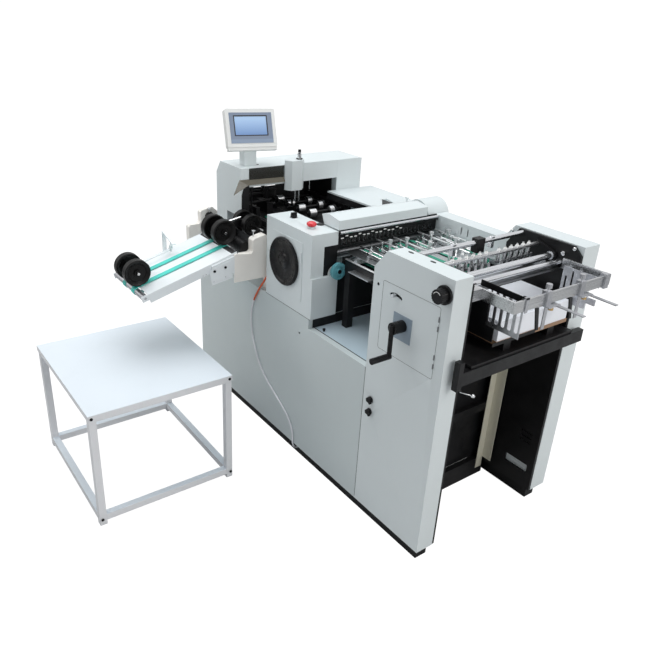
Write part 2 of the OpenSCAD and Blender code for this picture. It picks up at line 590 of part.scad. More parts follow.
// ---------- Fold head ----------
head_low = 958;                 // below this the housing stands proud
head_proud = 12;
wheel_at = [-996, 977];
wheel_shaft_d = 30;
selector_at = [-1055, 79];
stop_at = [-890, 60];
stop_d = 16;
selector_d = 12;
nip_z = 1060;                   // the sheet enters between the fold rollers here
roller_x = head_x1 - 54;
roller_z = [nip_z + 0.5 + roller_d / 2, nip_z - 0.5 - roller_d / 2];
recess = [66, 958, 1091];       // recess in the feeder-side face: start in y, bottom, top
module head_outline(i) polygon([[head_x0 + i, cabinet_h + i + 0.2], [head_x1 + head_proud - i, cabinet_h + i + 0.2],
    [head_x1 + head_proud - i, head_low - i], [head_x1 - i, head_low - i],
    [head_x1 - i, head_top - i], [head_x0 + i, head_top - i]]);
module head_box() color([0.88, 0.89, 0.89]) place() {
    difference() {
        union() {
            difference() {
                along_y(0, head_d) head_outline(0);
                along_y(sheet, head_d - sheet) head_outline(sheet);
                slab(head_x1 - 6, head_x1 + 1, recess[0], head_d + 1, recess[1], recess[2]);
            }
            slab(head_x1 - 20, head_x1 - 6, recess[0] - 1, head_d - sheet + 0.5, recess[1] - 1, recess[2] + 1);
            rod_y(64, wheel_at[0], sheet - 0.5, 70, wheel_at[1]);
            for (z = roller_z) rod_y(roller_d - 2, roller_x, 104, head_d - sheet + 0.5, z);
            rod_z(26, selector_at[0], selector_at[1], head_top - 30, head_top - sheet + 0.5);
            rod_z(30, stop_at[0], stop_at[1], head_top - 34, head_top - sheet + 0.5);
        }
        rod_y(wheel_shaft_d + 2 * run, wheel_at[0], -1, 64, wheel_at[1]);
        for (z = roller_z) rod_y(journal_d + 2 * run, roller_x, 108, head_d + 1, z);
        rod_z(selector_d + 2 * run, selector_at[0], selector_at[1], head_top - 26, head_top + 1);
        rod_z(stop_d + 2 * run, stop_at[0], stop_at[1], head_top - 31, head_top + 1);
        rod_x(register_shaft_d + 2 * run, head_x1 - 17, head_x1 + 1, register_wheel_at[0], register_wheel_at[1]);
    }
    // black collar round the stop button
    difference() {
        rod_z(34, stop_at[0], stop_at[1], head_top + 0.2, head_top + 8);
        rod_z(stop_d + 1, stop_at[0], stop_at[1], head_top, head_top + 9);
    }
}

head_door = [-1104, -862, 824, 1098];
module head_panel() color([0.87, 0.88, 0.88]) place() {
    difference() {
        along_y(-2, -0.2) round_rect(head_door[0], head_door[1], head_door[2], head_door[3], 10);
        rod_y(wheel_shaft_d + 8, wheel_at[0], -3, 1, wheel_at[1]);
    }
    // pull strip
    along_y(-6, -1.9) round_rect(head_door[1] - 12, head_door[1] - 4, 1010, 1056, 3);
}

module handwheel() color([0.05, 0.05, 0.055]) place() {
    translate([wheel_at[0], 0, wheel_at[1]]) rotate([90, 0, 0]) rotate_extrude($fn = 96) {
        r = handwheel_d / 2;
        polygon([[0, 2.4], [r - 3, 2.4], [r, 6], [r, 12], [r - 5, 17], [r - 12, 17],
            [r - 20, 10], [r - 44, 6.5], [38, 6.5], [30, 12], [0, 14]]);
    }
    rod_y(wheel_shaft_d, wheel_at[0], -3, 60, wheel_at[1]);
}

module selector_knob() color([0.06, 0.06, 0.06]) place() {
    translate([selector_at[0], selector_at[1], head_top + slack]) fluted(30, 10, 14);
    translate([selector_at[0], selector_at[1], head_top + 13]) linear_extrude(12) round_rect(-4, 4, -15, 15, 2);
    rod_z(selector_d, selector_at[0], selector_at[1], head_top - 24, head_top + 2);
}

stop_travel = 4;
module stop_button() color([0.75, 0.06, 0.07]) place() {
    translate([stop_at[0], stop_at[1], head_top + 8 + stop_travel + slack]) rotate_extrude()
        polygon([[0, 0], [20, 0], [22, 3], [22, 9], [18, 14], [10, 17], [0, 18]]);
    rod_z(stop_d, stop_at[0], stop_at[1], head_top - 26, head_top + 14);
}

fold_cover = [[0, 0], [0, 41], [-73, 53], [-125, 41], [-107, 0]];
cover_y1 = drive_y - 67;
cover_z = head_top + 4;
module cover_outline() translate([head_x1, cover_z]) polygon(fold_cover);
module bridge_cover() color([0.88, 0.89, 0.89]) place() {
    difference() {
        along_y(head_d + 0.2, cover_y1) cover_outline();
        along_y(head_d + sheet, cover_y1 - sheet) translate([head_x1 - 56, cover_z + 24]) scale(0.88)
            translate([-head_x1 + 56, -cover_z - 24]) cover_outline();
    }
    // wing bolt
    rod_z(8, head_x1 - 100, cover_y1 - 45, cover_z + 48, cover_z + 62);
    along_y(cover_y1 - 46.5, cover_y1 - 43.5) translate([head_x1 - 100, cover_z + 64]) { translate([-7, 0]) circle(5); translate([7, 0]) circle(5);
        translate([-7, -5]) square([14, 6]); }
}

comb_pitch = 24;
module bridge_comb() color([0.06, 0.06, 0.065]) place() {
    along_x(head_x1 - 5, head_x1 - 2) difference() {
        translate([head_d + 0.2, nip_z + 16]) square([drive_y - head_d - 0.4, cover_z - slack - nip_z - 16]);
        for (y = [head_d + 24 : comb_pitch : drive_y - 30]) slot_hole(y, nip_z + 24, nip_z + 52, 9);
    }
    slab(head_x1 - 2, head_x1 + 8, head_d + 0.2, drive_y - 0.2, 1128, 1134);
    rod_y(12, head_x1 + 8, head_d + 0.2, drive_y - 0.2, 1144);
    for (y = [head_d + 36 : comb_pitch : drive_y - 40])
        slab(head_x1 - 2, head_x1 + 14, y - 5, y + 5, nip_z + 30, nip_z + 33);
    // back plate under the table, its part in the head's recess, and the plate on the cabinet's step
    difference() {
        union() {
            slab(head_x1 - 5, head_x1 - 2, head_d + 0.2, drive_y - 0.2, cabinet_h + 0.2, nip_z - 60);
            slab(head_x1 - 5.7, head_x1 - 2, recess[0] + slack, head_d + 1, recess[1] + slack, recess[2] - slack);
        }
        rod_x(register_shaft_d + 1, head_x1 - 7, head_x1, register_wheel_at[0], register_wheel_at[1]);
    }
    slab(step_x + slack, step_x + slack + 3, 22, drive_y - 0.2, step_h + 0.2, cabinet_h - 0.2);
}

roller_y = [head_d + 4, drive_y - 4];
module fold_roller(z) {
    difference() {
        rod_y(roller_d, roller_x, roller_y[0], roller_y[1], z);
        for (y = [roller_y[0] + 30 : 60 : roller_y[1] - 30]) difference() {
            rod_y(roller_d + 1, roller_x, y - 2, y + 2, z);
            rod_y(roller_d - 3, roller_x, y - 3, y + 3, z);
        }
    }
    rod_y(journal_d, roller_x, 110, drive_y + 24, z);
}
module fold_roller_upper() color([0.3, 0.31, 0.32]) place() fold_roller(roller_z[0]);
module fold_roller_lower() color([0.3, 0.31, 0.32]) place() fold_roller(roller_z[1]);

// ---------- Covers on the drive side ----------
hood_at = [-893, 1125];
hood_r = 79;
hood_z = 1116;
hood_y = [drive_y - 38, machine_w + 16];
legs_x1 = -1391;
legs_x0 = legs_x1 - bridge_len;
module beam_outline(i) polygon([[legs_x1 + 0.2 + i, cabinet_h + 0.2 + i], [head_x1 + 0.2 + i, cabinet_h + 0.2 + i],
    [head_x1 + 0.2 + i, step_h + 0.2 + i], [cab_x1 - 0.5 - i, step_h + 0.2 + i],
    [cab_x1 - 0.5 - i, head_top - i], [legs_x1 + 0.2 + i, head_top - i]]);
deck_plan = [[legs_x1 + 0.2, drive_y - 211], [-1056, drive_y - 193], [-1044, drive_y - 87],
    [head_x1 - 128, drive_y - 87],
    [head_x1 - 128, drive_y - 0.2], [legs_x1 + 0.2, drive_y - 0.2]];
module rear_covers() color([0.87, 0.88, 0.88]) place() {
    difference() {
        union() {
            difference() {
                along_y(drive_y, machine_w) beam_outline(0);
                along_y(drive_y + sheet, machine_w - sheet) beam_outline(sheet);
            }
            for (z = roller_z) rod_y(roller_d - 2, roller_x, drive_y + sheet - 0.5, drive_y + 32, z);
        }
        for (z = roller_z) rod_y(journal_d + 2 * run, roller_x, drive_y - 1, drive_y + 27, z);
        slab(hood_at[0] - hood_r - slack, hood_at[0] + hood_r + slack, drive_y - 1, machine_w + 1,
            hood_z - slack, head_top + 1);
        // two slots beside the hood in the inner wall
        for (x = [-640, -600]) slab(x, x + 6, drive_y - 1, drive_y + sheet + 1, 1096, 1130);
    }
    // deck between the gantry and the fold head
    difference() {
        translate([0, 0, head_top - 36]) linear_extrude(36) polygon(deck_plan);
        translate([0, 0, head_top - 30]) linear_extrude(31)
            polygon([[-1131, drive_y - 75], [-1131, drive_y - 27], [-1046, drive_y - 51]]);
        slab(hood_at[0] - hood_r - slack, hood_at[0] + hood_r + slack, hood_y[0] - slack, drive_y, 1100, 1200);
    }
}

module hood_outline(r) {
    translate(hood_at) circle(r, $fn = 72);
    translate([hood_at[0] - r, hood_z]) square([2 * r, hood_at[1] - hood_z]);
}
module motor_cover() color([0.88, 0.89, 0.89]) place() intersection() {
    difference() {
        along_y(hood_y[0], hood_y[1]) hood_outline(hood_r);
        along_y(hood_y[0] + sheet, hood_y[1] - sheet) hood_outline(hood_r - sheet);
    }
    slab(hood_at[0] - 2 * hood_r, hood_at[0] + 2 * hood_r, 600, 900, hood_z, 1300);
}

// ---------- Gantry over the cross-fold station ----------
gantry_cut = [41, 59];          // run and rise of the gantry's slanted corner
beam_z = 1216;
near_leg_t = 45;
far_leg_y = 571;
foot_z = 1075;                  // above this the operator-side leg has its full length
foot_x1 = legs_x0 + 106;
housing = [-1440, -1350, 241, 353, 1185, 1330];   // x, y and z limits of the knife's housing
window_y = [50, housing[2] - 2];
knife_y = (housing[2] + housing[3]) / 2;
pedestal = [-1490, -1440, 48, 113];
screen_axis = [-1466, 80];
screen_seat = bridge_top + 68;
neck_d = 24;
module gantry_top(i, z) polygon([[legs_x0 + i, z], [legs_x1 - i, z], [legs_x1 - i, bridge_top - i],
    [legs_x0 + gantry_cut[0] + i * 0.6, bridge_top - i], [legs_x0 + i, bridge_top - gantry_cut[1] - i * 0.4]]);
module gantry() color([0.87, 0.88, 0.88]) place() {
    // operator-side leg, cut back over the delivery
    difference() {
        along_y(0, near_leg_t) union() {
            gantry_top(0, foot_z);
            translate([legs_x0, cabinet_h + 0.2]) square([foot_x1 - legs_x0, foot_z - cabinet_h]);
        }
        along_y(sheet, near_leg_t - sheet) gantry_top(sheet, foot_z + sheet);
        along_y(sheet, near_leg_t - sheet) translate([legs_x0 + sheet, cabinet_h + 6])
            square([foot_x1 - legs_x0 - 2 * sheet, foot_z - cabinet_h]);
    }
    // drive-side leg
    difference() {
        along_y(far_leg_y, bridge_w) gantry_top(0, cabinet_h + 0.2);
        along_y(far_leg_y + sheet, bridge_w - sheet) gantry_top(sheet, cabinet_h + 6);
    }
    // beam between them, with the guard's window and the seat of the knife housing
    difference() {
        along_y(near_leg_t + 0.2, far_leg_y - 0.2) gantry_top(0, beam_z);
        along_y(near_leg_t + sheet, far_leg_y - sheet) gantry_top(sheet, beam_z + sheet);
        slab(legs_x1 - sheet - 1, legs_x1 + 1, window_y[0], window_y[1], beam_z + 14, bridge_top - 14);
        translate([0, 0, beam_z - 1]) linear_extrude(bridge_top - beam_z + 2) housing_back(0.2);
    }
    // pedestal of the operating screen
    difference() {
        slab(pedestal[0], pedestal[1], pedestal[2], pedestal[3], bridge_top + 0.2, screen_seat);
        rod_z(neck_d + 2 * run, screen_axis[0], screen_axis[1], bridge_top + 20, screen_seat + 1);
    }
}

stem = 34;
stem_x = housing[0] + 28;
screw_d = 14;
screw_at = [housing[1] - 35, housing[3] - 27];
corner_x = housing[1] - 35;     // the housing's rear corner is cut away from here
// The housing's outline behind this corner, i larger all round
module housing_back(i) polygon([[housing[0] - i, knife_y - i * 0.4], [corner_x - i * 0.4, housing[2] - i],
    [corner_x, housing[3] + i], [housing[0] - i, housing[3] + i]]);
module knife_housing() color([0.86, 0.87, 0.88]) place() difference() {
    translate([0, 0, housing[4]]) linear_extrude(housing[5] - housing[4]) {
        housing_back(0);
        polygon([[corner_x - 1, housing[2] + 1], [corner_x, housing[2]], [housing[1] - 30, housing[2]],
            [housing[1], housing[2] + 21], [housing[1], housing[3] - 31], [housing[1] - 32, housing[3]],
            [corner_x - 1, housing[3]]]);
    }
    slab(stem_x, stem_x + stem, knife_y - stem / 2, knife_y + stem / 2, housing[4] - 1, housing[5] - 26);
    rod_z(screw_d + 2 * run, screw_at[0], screw_at[1], housing[5] - 27, housing[5] + 1);
}

blade_t = 3;
knife_travel = 42;
module knife_blade() color([0.75, 0.76, 0.77]) place() {
    slab(stem_x + slack, stem_x + stem - slack, knife_y - stem / 2 + slack, knife_y + stem / 2 - slack,
        nip_z + 95, housing[5] - 40);
    along_y(knife_y - blade_t / 2, knife_y + blade_t / 2)
        polygon([[legs_x0 + 46, nip_z + 110], [stem_x + stem, nip_z + 110], [stem_x + stem + 14, nip_z + 92],
            [stem_x + stem + 14, nip_z + 44], [stem_x + stem + 6, nip_z + 36], [legs_x0 + 54, nip_z + 36],
            [legs_x0 + 46, nip_z + 44]]);
}

module knife_screw() color([0.35, 0.36, 0.37]) place() translate([screw_at[0], screw_at[1], housing[5]]) {
    translate([0, 0, -24]) cylinder(d = screw_d, h = 26);
    translate([0, 0, slack]) cylinder(d = 32, h = 4);
    translate([0, 0, 2]) cylinder(d = 20, h = 25);
    translate([0, 0, 26]) cylinder(d = 11, h = 6);
    translate([0, 0, 31]) cylinder(d = 17, h = 4);
    translate([0, 0, 34]) fluted(15, 9, 12);
}

module guard_shield() color([0.35, 0.3, 0.26, 0.6]) place()
    along_y(4, window_y[1] + 1) polygon([[legs_x1 + 0.2, bridge_top - 6], [legs_x1 + 3.2, bridge_top - 6],
        [legs_x1 + 3.2, beam_z + 17], [legs_x1 + 22, beam_z - 25], [legs_x1 + 19.3, beam_z - 26.2],
        [legs_x1 + 0.2, beam_z + 16]]);

// ---------- Transport deck and cross-fold rollers ----------
station_x = [legs_x0 + 4, -1202];
station_z = 1050;
shaft_x0 = legs_x0 + 44;
shaft_z = nip_z + 20;
shaft_x = [for (k = [0:3]) shaft_x0 + k * shaft_pitch];
wheel_y = [350, 470];
bearing_y = [536, 560];
cross_d = 44;
cross_z = 1020;
cross_journal = 16;
cross_y = [for (s = [-1, 1]) knife_y + s * (cross_d / 2 + 0.5)];
plate_t = 10;
stay = [-1616, 1130];           // the cross bar behind the knife
back_y0 = 345;
back_t = 3;
module transport_deck() color([0.1, 0.1, 0.105]) place() {
    slab(station_x[0], station_x[1], 52, knife_y - 17, station_z - 3, station_z);
    slab(station_x[0], station_x[1], knife_y + 17, bearing_y[1], station_z - 3, station_z);
    // bearing rail of the wheel shafts
    difference() {
        slab(station_x[0] + 4, -1244, bearing_y[0], bearing_y[1], station_z + 0.2, shaft_z + 24);
        for (x = shaft_x) rod_y(shaft_d + 2 * run, x, bearing_y[0] - 1, bearing_y[1] + 1, shaft_z);
    }
    // bearing plates of the cross-fold rollers and posts down to the cabinet
    for (x = [station_x[0], station_x[1] - plate_t]) {
        difference() {
            slab(x, x + plate_t, knife_y - 60, knife_y + 60, cabinet_h + 0.2, station_z - 3.2);
            for (y = cross_y) rod_x(cross_journal + 2 * run, x - 1, x + plate_t + 1, y, cross_z);
        }
        slab(x, x + plate_t, bearing_y[1] - 60, bearing_y[1], cabinet_h + 0.2, station_z - 3.2);
        slab(x, x + plate_t, 61, 92, cabinet_h + 0.2, station_z - 3.2);
    }
    // posts with knobs on the deck
    for (p = [[-1462, 100, 1180], [-1539, 236, 1156]]) {
        rod_z(10, p[0], p[1], station_z + 0.2, p[2]);
        rod_z(24, p[0], p[1], p[2] - 1, p[2] + 14);
    }
    // cross bar on clamps behind the knife
    rod_y(14, stay[0], 90, back_y0 - 0.2, stay[1]);
    for (y = [110, 258]) {
        rod_z(12, stay[0], y, station_z + 0.2, stay[1]);
        slab(stay[0] - 12, stay[0] + 12, y - 14, y + 14, stay[1] - 14, stay[1] + 14);
        rod_z(20, stay[0], y, stay[1] + 13, stay[1] + 25);
    }
    // plates at the back and along the drive-side leg
    slab(station_x[0], station_x[0] + back_t, back_y0, far_leg_y - 4, station_z + 0.2, beam_z - 1);
    slab(station_x[0] + 4, legs_x1 - 40, far_leg_y - 2.6, far_leg_y - 0.2, station_z + 0.2, beam_z - 1);
    // skirt along the edge of the drive-side deck
    translate([0, 0, head_top - 38]) linear_extrude(30)
        polygon([for (p = [deck_plan[0], deck_plan[1]]) [p[0], p[1] - 0.3],
            for (p = [deck_plan[1], deck_plan[0]]) [p[0], p[1] - back_t]]);
}

module cross_roller(y) {
    rod_x(cross_d, station_x[0] + plate_t + 2, station_x[1] - plate_t - 2, y, cross_z);
    rod_x(cross_journal, station_x[0] + 1, station_x[1] - 1, y, cross_z);
}
module cross_roller_near() color([0.12, 0.12, 0.13]) place() cross_roller(cross_y[0]);
module cross_roller_far() color([0.12, 0.12, 0.13]) place() cross_roller(cross_y[1]);

// Shaft k with a pressing wheel and, behind it, a larger carrier wheel
module wheel_shaft(k) {
    rod_y(shaft_d, shaft_x[k], wheel_y[0] - 32, bearing_y[1] + 8, shaft_z);
    rod_y(wheel_d, shaft_x[k], wheel_y[0] - 20, wheel_y[0] + 20, shaft_z);
    rod_y(wheel_d - 12, shaft_x[k], wheel_y[0] - 26, wheel_y[0] + 26, shaft_z);
    if (k > 0) {
        rod_y(wheel_d + 6, shaft_x[k], wheel_y[1] - 16, wheel_y[1] + 10, shaft_z);
        rod_y(wheel_d + 14, shaft_x[k], wheel_y[1] + 12, wheel_y[1] + 20, shaft_z);
        rod_y(wheel_d - 14, shaft_x[k], wheel_y[1] - 22, wheel_y[1] + 26, shaft_z);
    }
    rod_y(26, shaft_x[k], bearing_y[0] - 10, bearing_y[0] - slack, shaft_z);
}
module wheel_shaft_1() color([0.75, 0.76, 0.77]) place() wheel_shaft(0);
module wheel_shaft_2() color([0.75, 0.76, 0.77]) place() wheel_shaft(1);
module wheel_shaft_3() color([0.75, 0.76, 0.77]) place() wheel_shaft(2);
module wheel_shaft_4() color([0.75, 0.76, 0.77]) place() wheel_shaft(3);

// ---------- Delivery ----------
// On the slope, -Y runs outwards down the plate and Z stands square to it.
slope_y = -166;
slope_z = 980;
conveyor_x1 = -1180;
conveyor_x0 = conveyor_x1 - conveyor_w;
lip = 42;
lip_t = 4;
lane_x = [-1286, -1384];
belt_t = 2.5;
end_d = 30;
end_journal = 12;
end_out = 16;                   // how far the belt rollers stand beyond the plate
end_n = -12;                    // height of the belt rollers on the slope
belt_n = end_n + end_d / 2 + belt_t;
nip_n = belt_n + nip_d / 2 + slack;
nip_s = [-33, conveyor_len - 15];
nip_w = 35;
nip_shaft_d = 12;
bracket_w = 35;
bracket_x = [conveyor_x1 - bracket_w, conveyor_x1 - bracket_w - 520];
tie = [[-60, 930], [-100, 880]];
tie_d = 14;
module slope() translate([0, slope_y, slope_z]) rotate([conveyor_tilt, 0, 0]) children();
function slope_at(s, n) = [slope_y - s * cos(conveyor_tilt) - n * sin(conveyor_tilt),
    slope_z - s * sin(conveyor_tilt) + n * cos(conveyor_tilt)];
nip_in = slope_at(nip_s[0], nip_n);
module delivery_brackets() color([0.9, 0.9, 0.89]) place() {
    for (x = bracket_x) difference() {
        along_x(x, x + bracket_w) polygon([[-130, 838], [-130, 958], [-121, 968], [-52, 968], [-42, 978],
            [-42, 1028], [-34, 1037], [4, 1050], [12, 1044], [60, 1000], [60, cabinet_h + 0.2],
            [22, cabinet_h + 0.2], [22, 838]]);
        for (t = tie) rod_x(tie_d, x - 1, x + bracket_w + 1, t[0], t[1]);
    }
    for (t = tie) rod_x(tie_d, bracket_x[1], bracket_x[0] + bracket_w, t[0], t[1]);
    // bearing blocks and arms that carry the inner nip shaft
    for (x = [bracket_x[0] + 4, bracket_x[1] + 2]) {
        difference() {
            along_x(x, x + 12) {
                translate(nip_in) circle(d = 30);
                polygon([nip_in + [0, 14], nip_in + [0, -14], [-40, 1056], [-20, 1050.5], [4, 1050.5],
                    [4, 1088], [-40, 1088]]);
            }
            rod_x(nip_shaft_d + 2 * run, x - 1, x + 13, nip_in[0], nip_in[1]);
        }
        rod_z(8, x + 6, -20, 1087, 1104);
        translate([x + 6, -20, 1102]) fluted(18, 10, 11);
    }
    // slide that leads the folded sheet onto the belts
    along_x(conveyor_x0 + 6, bracket_x[0] - 6) {
        polygon([[205, 992], [205, 995], [-116, 990], [-116, 987]]);
        translate([-66, 936.6]) square([3, 50.9]);
    }
}

module conveyor_cheek(x, s0) {
    difference() {
        union() {
            slab(x, x + lip_t, -conveyor_len, -s0, -lip, 0);
            slab(x, x + lip_t, -conveyor_len - end_out - 16, -conveyor_len + 1, end_n - 14, 0);
        }
        for (s = [-end_out, conveyor_len + end_out])
            rod_x(end_journal + 2 * run, x - 1, x + lip_t + 1, -s, end_n);
    }
}
module conveyor_plate() color([0.85, 0.86, 0.87]) place() {
    slope() {
        slab(conveyor_x0 + lip_t + 0.2, conveyor_x1 - lip_t - 0.2, -conveyor_len, 0, -3, 0);
        conveyor_cheek(conveyor_x1 - lip_t, -end_out - 8);
    }
    // the far cheek reaches back to the tie rods, the near one has a strap outside
    difference() {
        union() {
            slope() conveyor_cheek(conveyor_x0, -118);
            along_x(conveyor_x0, conveyor_x0 + lip_t)
                polygon([[-128, 965], [-48, 975], [-48, 912], [-112, 858], [-128, 868]]);
        }
        for (t = tie) rod_x(tie_d + 0.4, conveyor_x0 - 1, conveyor_x0 + lip_t + 1, t[0], t[1]);
    }
    along_x(conveyor_x1 + 0.2, conveyor_x1 + 8) polygon([[-272, 905], [-272, 940], [-166, 968], [-60, 960],
        [-50, 930], [-60, 905], [-110, 862], [-166, 888]]);
    for (p = [[-207, 926], [-262, 916]]) rod_x(12, conveyor_x1 + 8, conveyor_x1 + 13, p[0], p[1]);
    // holder of the outer nip axle
    slope() difference() {
        slab(-1438, -1414, -nip_s[1] - 16, -nip_s[1] + 16, 0.2, nip_n + 16);
        rod_x(nip_shaft_d + 2 * run, -1439, -1413, -nip_s[1], nip_n);
    }
    // bent arm of the sheet stop
    along_y(-357, -337) polygon([[conveyor_x0 - 4.2, 893], [conveyor_x0 - 0.2, 893], [conveyor_x0 - 0.2, 1017],
        [-1402, 985], [-1400, 989], [conveyor_x0 - 1, 1022], [conveyor_x0 - 4.2, 1021]]);
    rod_z(6, -1440, -347, 940, 1002);
    rod_z(18, -1440, -347, 956, 972);
    slope() rod_y(5, -1440, -320, -176, 22);
}

module belt_loop(r) {
    for (s = [-end_out, conveyor_len + end_out]) translate([-s, end_n]) circle(r);
    translate([-conveyor_len - end_out, end_n - r]) square([conveyor_len + 2 * end_out, 2 * r]);
}
module conveyor_belts() color([0.13, 0.6, 0.52]) place() slope() for (x = lane_x)
    along_x(x - belt_w / 2, x + belt_w / 2) difference() {
        belt_loop(end_d / 2 + belt_t);
        belt_loop(end_d / 2 + 0.05);
    }

module belt_roller(s) slope() {
    rod_x(end_d, conveyor_x0 + lip_t + 1, conveyor_x1 - lip_t - 1, -s, end_n);
    rod_x(end_journal, conveyor_x0 - 1, conveyor_x1 - 0.2, -s, end_n);
}
module delivery_roller() color([0.08, 0.08, 0.085]) place() belt_roller(-end_out);
module end_roller() color([0.6, 0.61, 0.62]) place() belt_roller(conveyor_len + end_out);

module nip_wheel(x) translate([x - nip_w / 2, 0, 0]) rotate([0, 90, 0]) rotate_extrude($fn = 72)
    let (r = nip_d / 2) polygon([[0, 4], [14, 4], [16, 12], [r - 20, 12], [r - 14, 3], [r - 4, 0], [r, 3],
        [r, nip_w - 3], [r - 4, nip_w], [r - 14, nip_w - 3], [r - 20, nip_w - 12], [16, nip_w - 12],
        [14, nip_w - 4], [0, nip_w - 4]]);
module nip_pair(s, x0, x1) slope() {
    rod_x(nip_shaft_d, x0, x1, -s, nip_n);
    translate([0, -s, nip_n]) for (x = lane_x) nip_wheel(x);
}
module nip_wheels_inner() color([0.05, 0.05, 0.055]) place() nip_pair(nip_s[0], bracket_x[1], bracket_x[0] + 18);
module nip_wheels_outer() color([0.05, 0.05, 0.055]) place() nip_pair(nip_s[1], -1442, lane_x[0] + 24);

// ---------- Operating screen ----------
screen_face = [-1439, 84, 1483];
screen_w = 243;
screen_h = 175;
screen_t = 40;
screen_turn = -12.2;            // swivel towards the operator
screen_tilt = -20.1;
module screen_unit() color([0.9, 0.9, 0.9]) place() {
    rod_z(neck_d, screen_axis[0], screen_axis[1], bridge_top + 24, screen_face[2] - 44);
    rod_z(neck_d + 12, screen_axis[0], screen_axis[1], screen_seat + slack, screen_seat + 6);
    translate(screen_face) rotate([0, 0, screen_turn]) rotate([0, screen_tilt, 0]) {
        difference() {
            along_x(-screen_t, 0) round_rect(-screen_w / 2, screen_w / 2, -screen_h / 2, screen_h / 2, 6);
            slab(-2, 1, -screen_w * 0.345, screen_w * 0.335, -0.21 * screen_h, 0.325 * screen_h);
        }
        slab(-screen_t - 14, -screen_t + 1, -screen_w * 0.36, screen_w * 0.36, -screen_h * 0.34, screen_h * 0.34);
    }
}

// ---------- Connecting cable ----------
// Route along the operator's side of the cabinet: x, y, z.
cord_route = [[-1154, 24, 872], [-1160, 24, 870.5], [-1167, 22, 864], [-1171, 17, 851], [-1174, 10, 833],
    [-1181, 3, 812], [-1193, -3, 790], [-1208, -6, 767], [-1230, -6, 735], [-1250, -6, 702], [-1267, -6, 662],
    [-1278, -6, 620], [-1280, -6, 575], [-1275, -6, 530], [-1261, -6, 482], [-1238, -6, 430], [-1208, -6, 380],
    [-1170, -6, 338], [-1125, -6, 304], [-1075, -6, 276], [-1024, -6, 250], [-979, -6, 226], [-941, -6, 202],
    [-912, -6, 176], [-893, -6, 148], [-882, -6, 118], [-879, -6, 90], [-879, -5, 68], [-879, 1, 49],
    [-879, 11, 37], [-879, 21, 32], [-879, 27, 31]];
cord_sides = 8;
cord_rings = 3 * (len(cord_route) - 1);
// Catmull-Rom curve through the route's points
function clamp_at(k) = cord_route[max(0, min(len(cord_route) - 1, k))];
function route_at(u) = let (k = floor(u), t = u - k, a = clamp_at(k - 1), b = clamp_at(k),
    c = clamp_at(k + 1), d = clamp_at(k + 2))
    0.5 * (2 * b + (c - a) * t + (2 * a - 5 * b + 4 * c - d) * t * t + (3 * b - a - 3 * c + d) * t * t * t);
function unit(v) = v / norm(v);
function route_dir(k) = k == 0 ? [-1, 0, 0] : k == cord_rings ? [0, 1, 0]
    : unit(route_at((k + 0.5) / 3) - route_at((k - 0.5) / 3));
// a side direction that never turns parallel to the route
function route_side(k) = unit(cross(route_dir(k), k < cord_rings * 0.86 ? [0, 1, 0.3] : [1, 0, 0]));
module cord() color([0.85, 0.85, 0.9]) place() {
    points = [for (k = [0:cord_rings]) let (p = route_at(k / 3), n = route_side(k), b = cross(route_dir(k), n))
        for (j = [0:cord_sides - 1]) let (a = j * 360 / cord_sides) p + cord_d / 2 * (n * cos(a) + b * sin(a))];
    last = cord_rings * cord_sides;
    polyhedron(points, [[for (j = [cord_sides - 1:-1:0]) j], [for (j = [0:cord_sides - 1]) last + j],
        for (k = [0:cord_rings - 1], j = [0:cord_sides - 1]) let (a = k * cord_sides + j,
            b = k * cord_sides + (j + 1) % cord_sides) each [[a, b, b + cord_sides], [a, b + cord_sides, a + cord_sides]]]);
}

// ---------- Receiving table ----------
table_x0 = -1587;
table_y0 = -962;
top_t = 3;
module table_leg(x, y) slab(x, x + tube, y, y + tube, 0, table_h - top_t - 0.2);
module delivery_table() color([0.88, 0.89, 0.9]) place() {
    x1 = table_x0 + table_len;
    y1 = table_y0 + table_d;
    in = top_t + 0.2;
    slab(table_x0, x1, table_y0, y1, table_h - top_t, table_h);
    // folded edges of the top
    for (y = [table_y0, y1 - top_t]) slab(table_x0, x1, y, y + top_t, table_h - 25, table_h - top_t - 0.2);
    for (x = [table_x0, x1 - top_t])
        slab(x, x + top_t, table_y0 + in, y1 - in, table_h - 25, table_h - top_t - 0.2);
    for (x = [table_x0 + in, x1 - in - tube], y = [table_y0 + in, y1 - in - tube]) table_leg(x, y);
    for (z = [20, table_h - top_t - 0.4 - tube]) {
        for (y = [table_y0 + in, y1 - in - tube])
            slab(table_x0 + in + tube + 0.2, x1 - in - tube - 0.2, y, y + tube, z, z + tube);
        for (x = [table_x0 + in, x1 - in - tube])
            slab(x, x + tube, table_y0 + in + tube + 0.2, y1 - in - tube - 0.2, z, z + tube);
    }
}

base_plinth();
base_cabinet();
operator_casing();
crank_panel();
drive_casing();
bay_frame();
lift_posts();
lift_spindle();
pile_table();
paper_pile();
crank();
feeder_knob();
speed_lever();
latch_upper();
latch_lower();
feeder_bars();
nozzle_bar();
separator_comb();
side_rail_frame();
guide_plate_near();
guide_plate_far();
tail_guide_near();
tail_guide_far();
register_deck();
carrier_tapes();
hold_down_rods();
register_handwheel();
head_box();
head_panel();
handwheel();
selector_knob();
stop_button();
bridge_cover();
bridge_comb();
fold_roller_upper();
fold_roller_lower();
rear_covers();
motor_cover();
gantry();
knife_housing();
knife_blade();
knife_screw();
guard_shield();
transport_deck();
cross_roller_near();
cross_roller_far();
wheel_shaft_1();
wheel_shaft_2();
wheel_shaft_3();
wheel_shaft_4();
delivery_brackets();
delivery_roller();
conveyor_plate();
conveyor_belts();
nip_wheels_inner();
nip_wheels_outer();
end_roller();
screen_unit();
cord();
delivery_table();
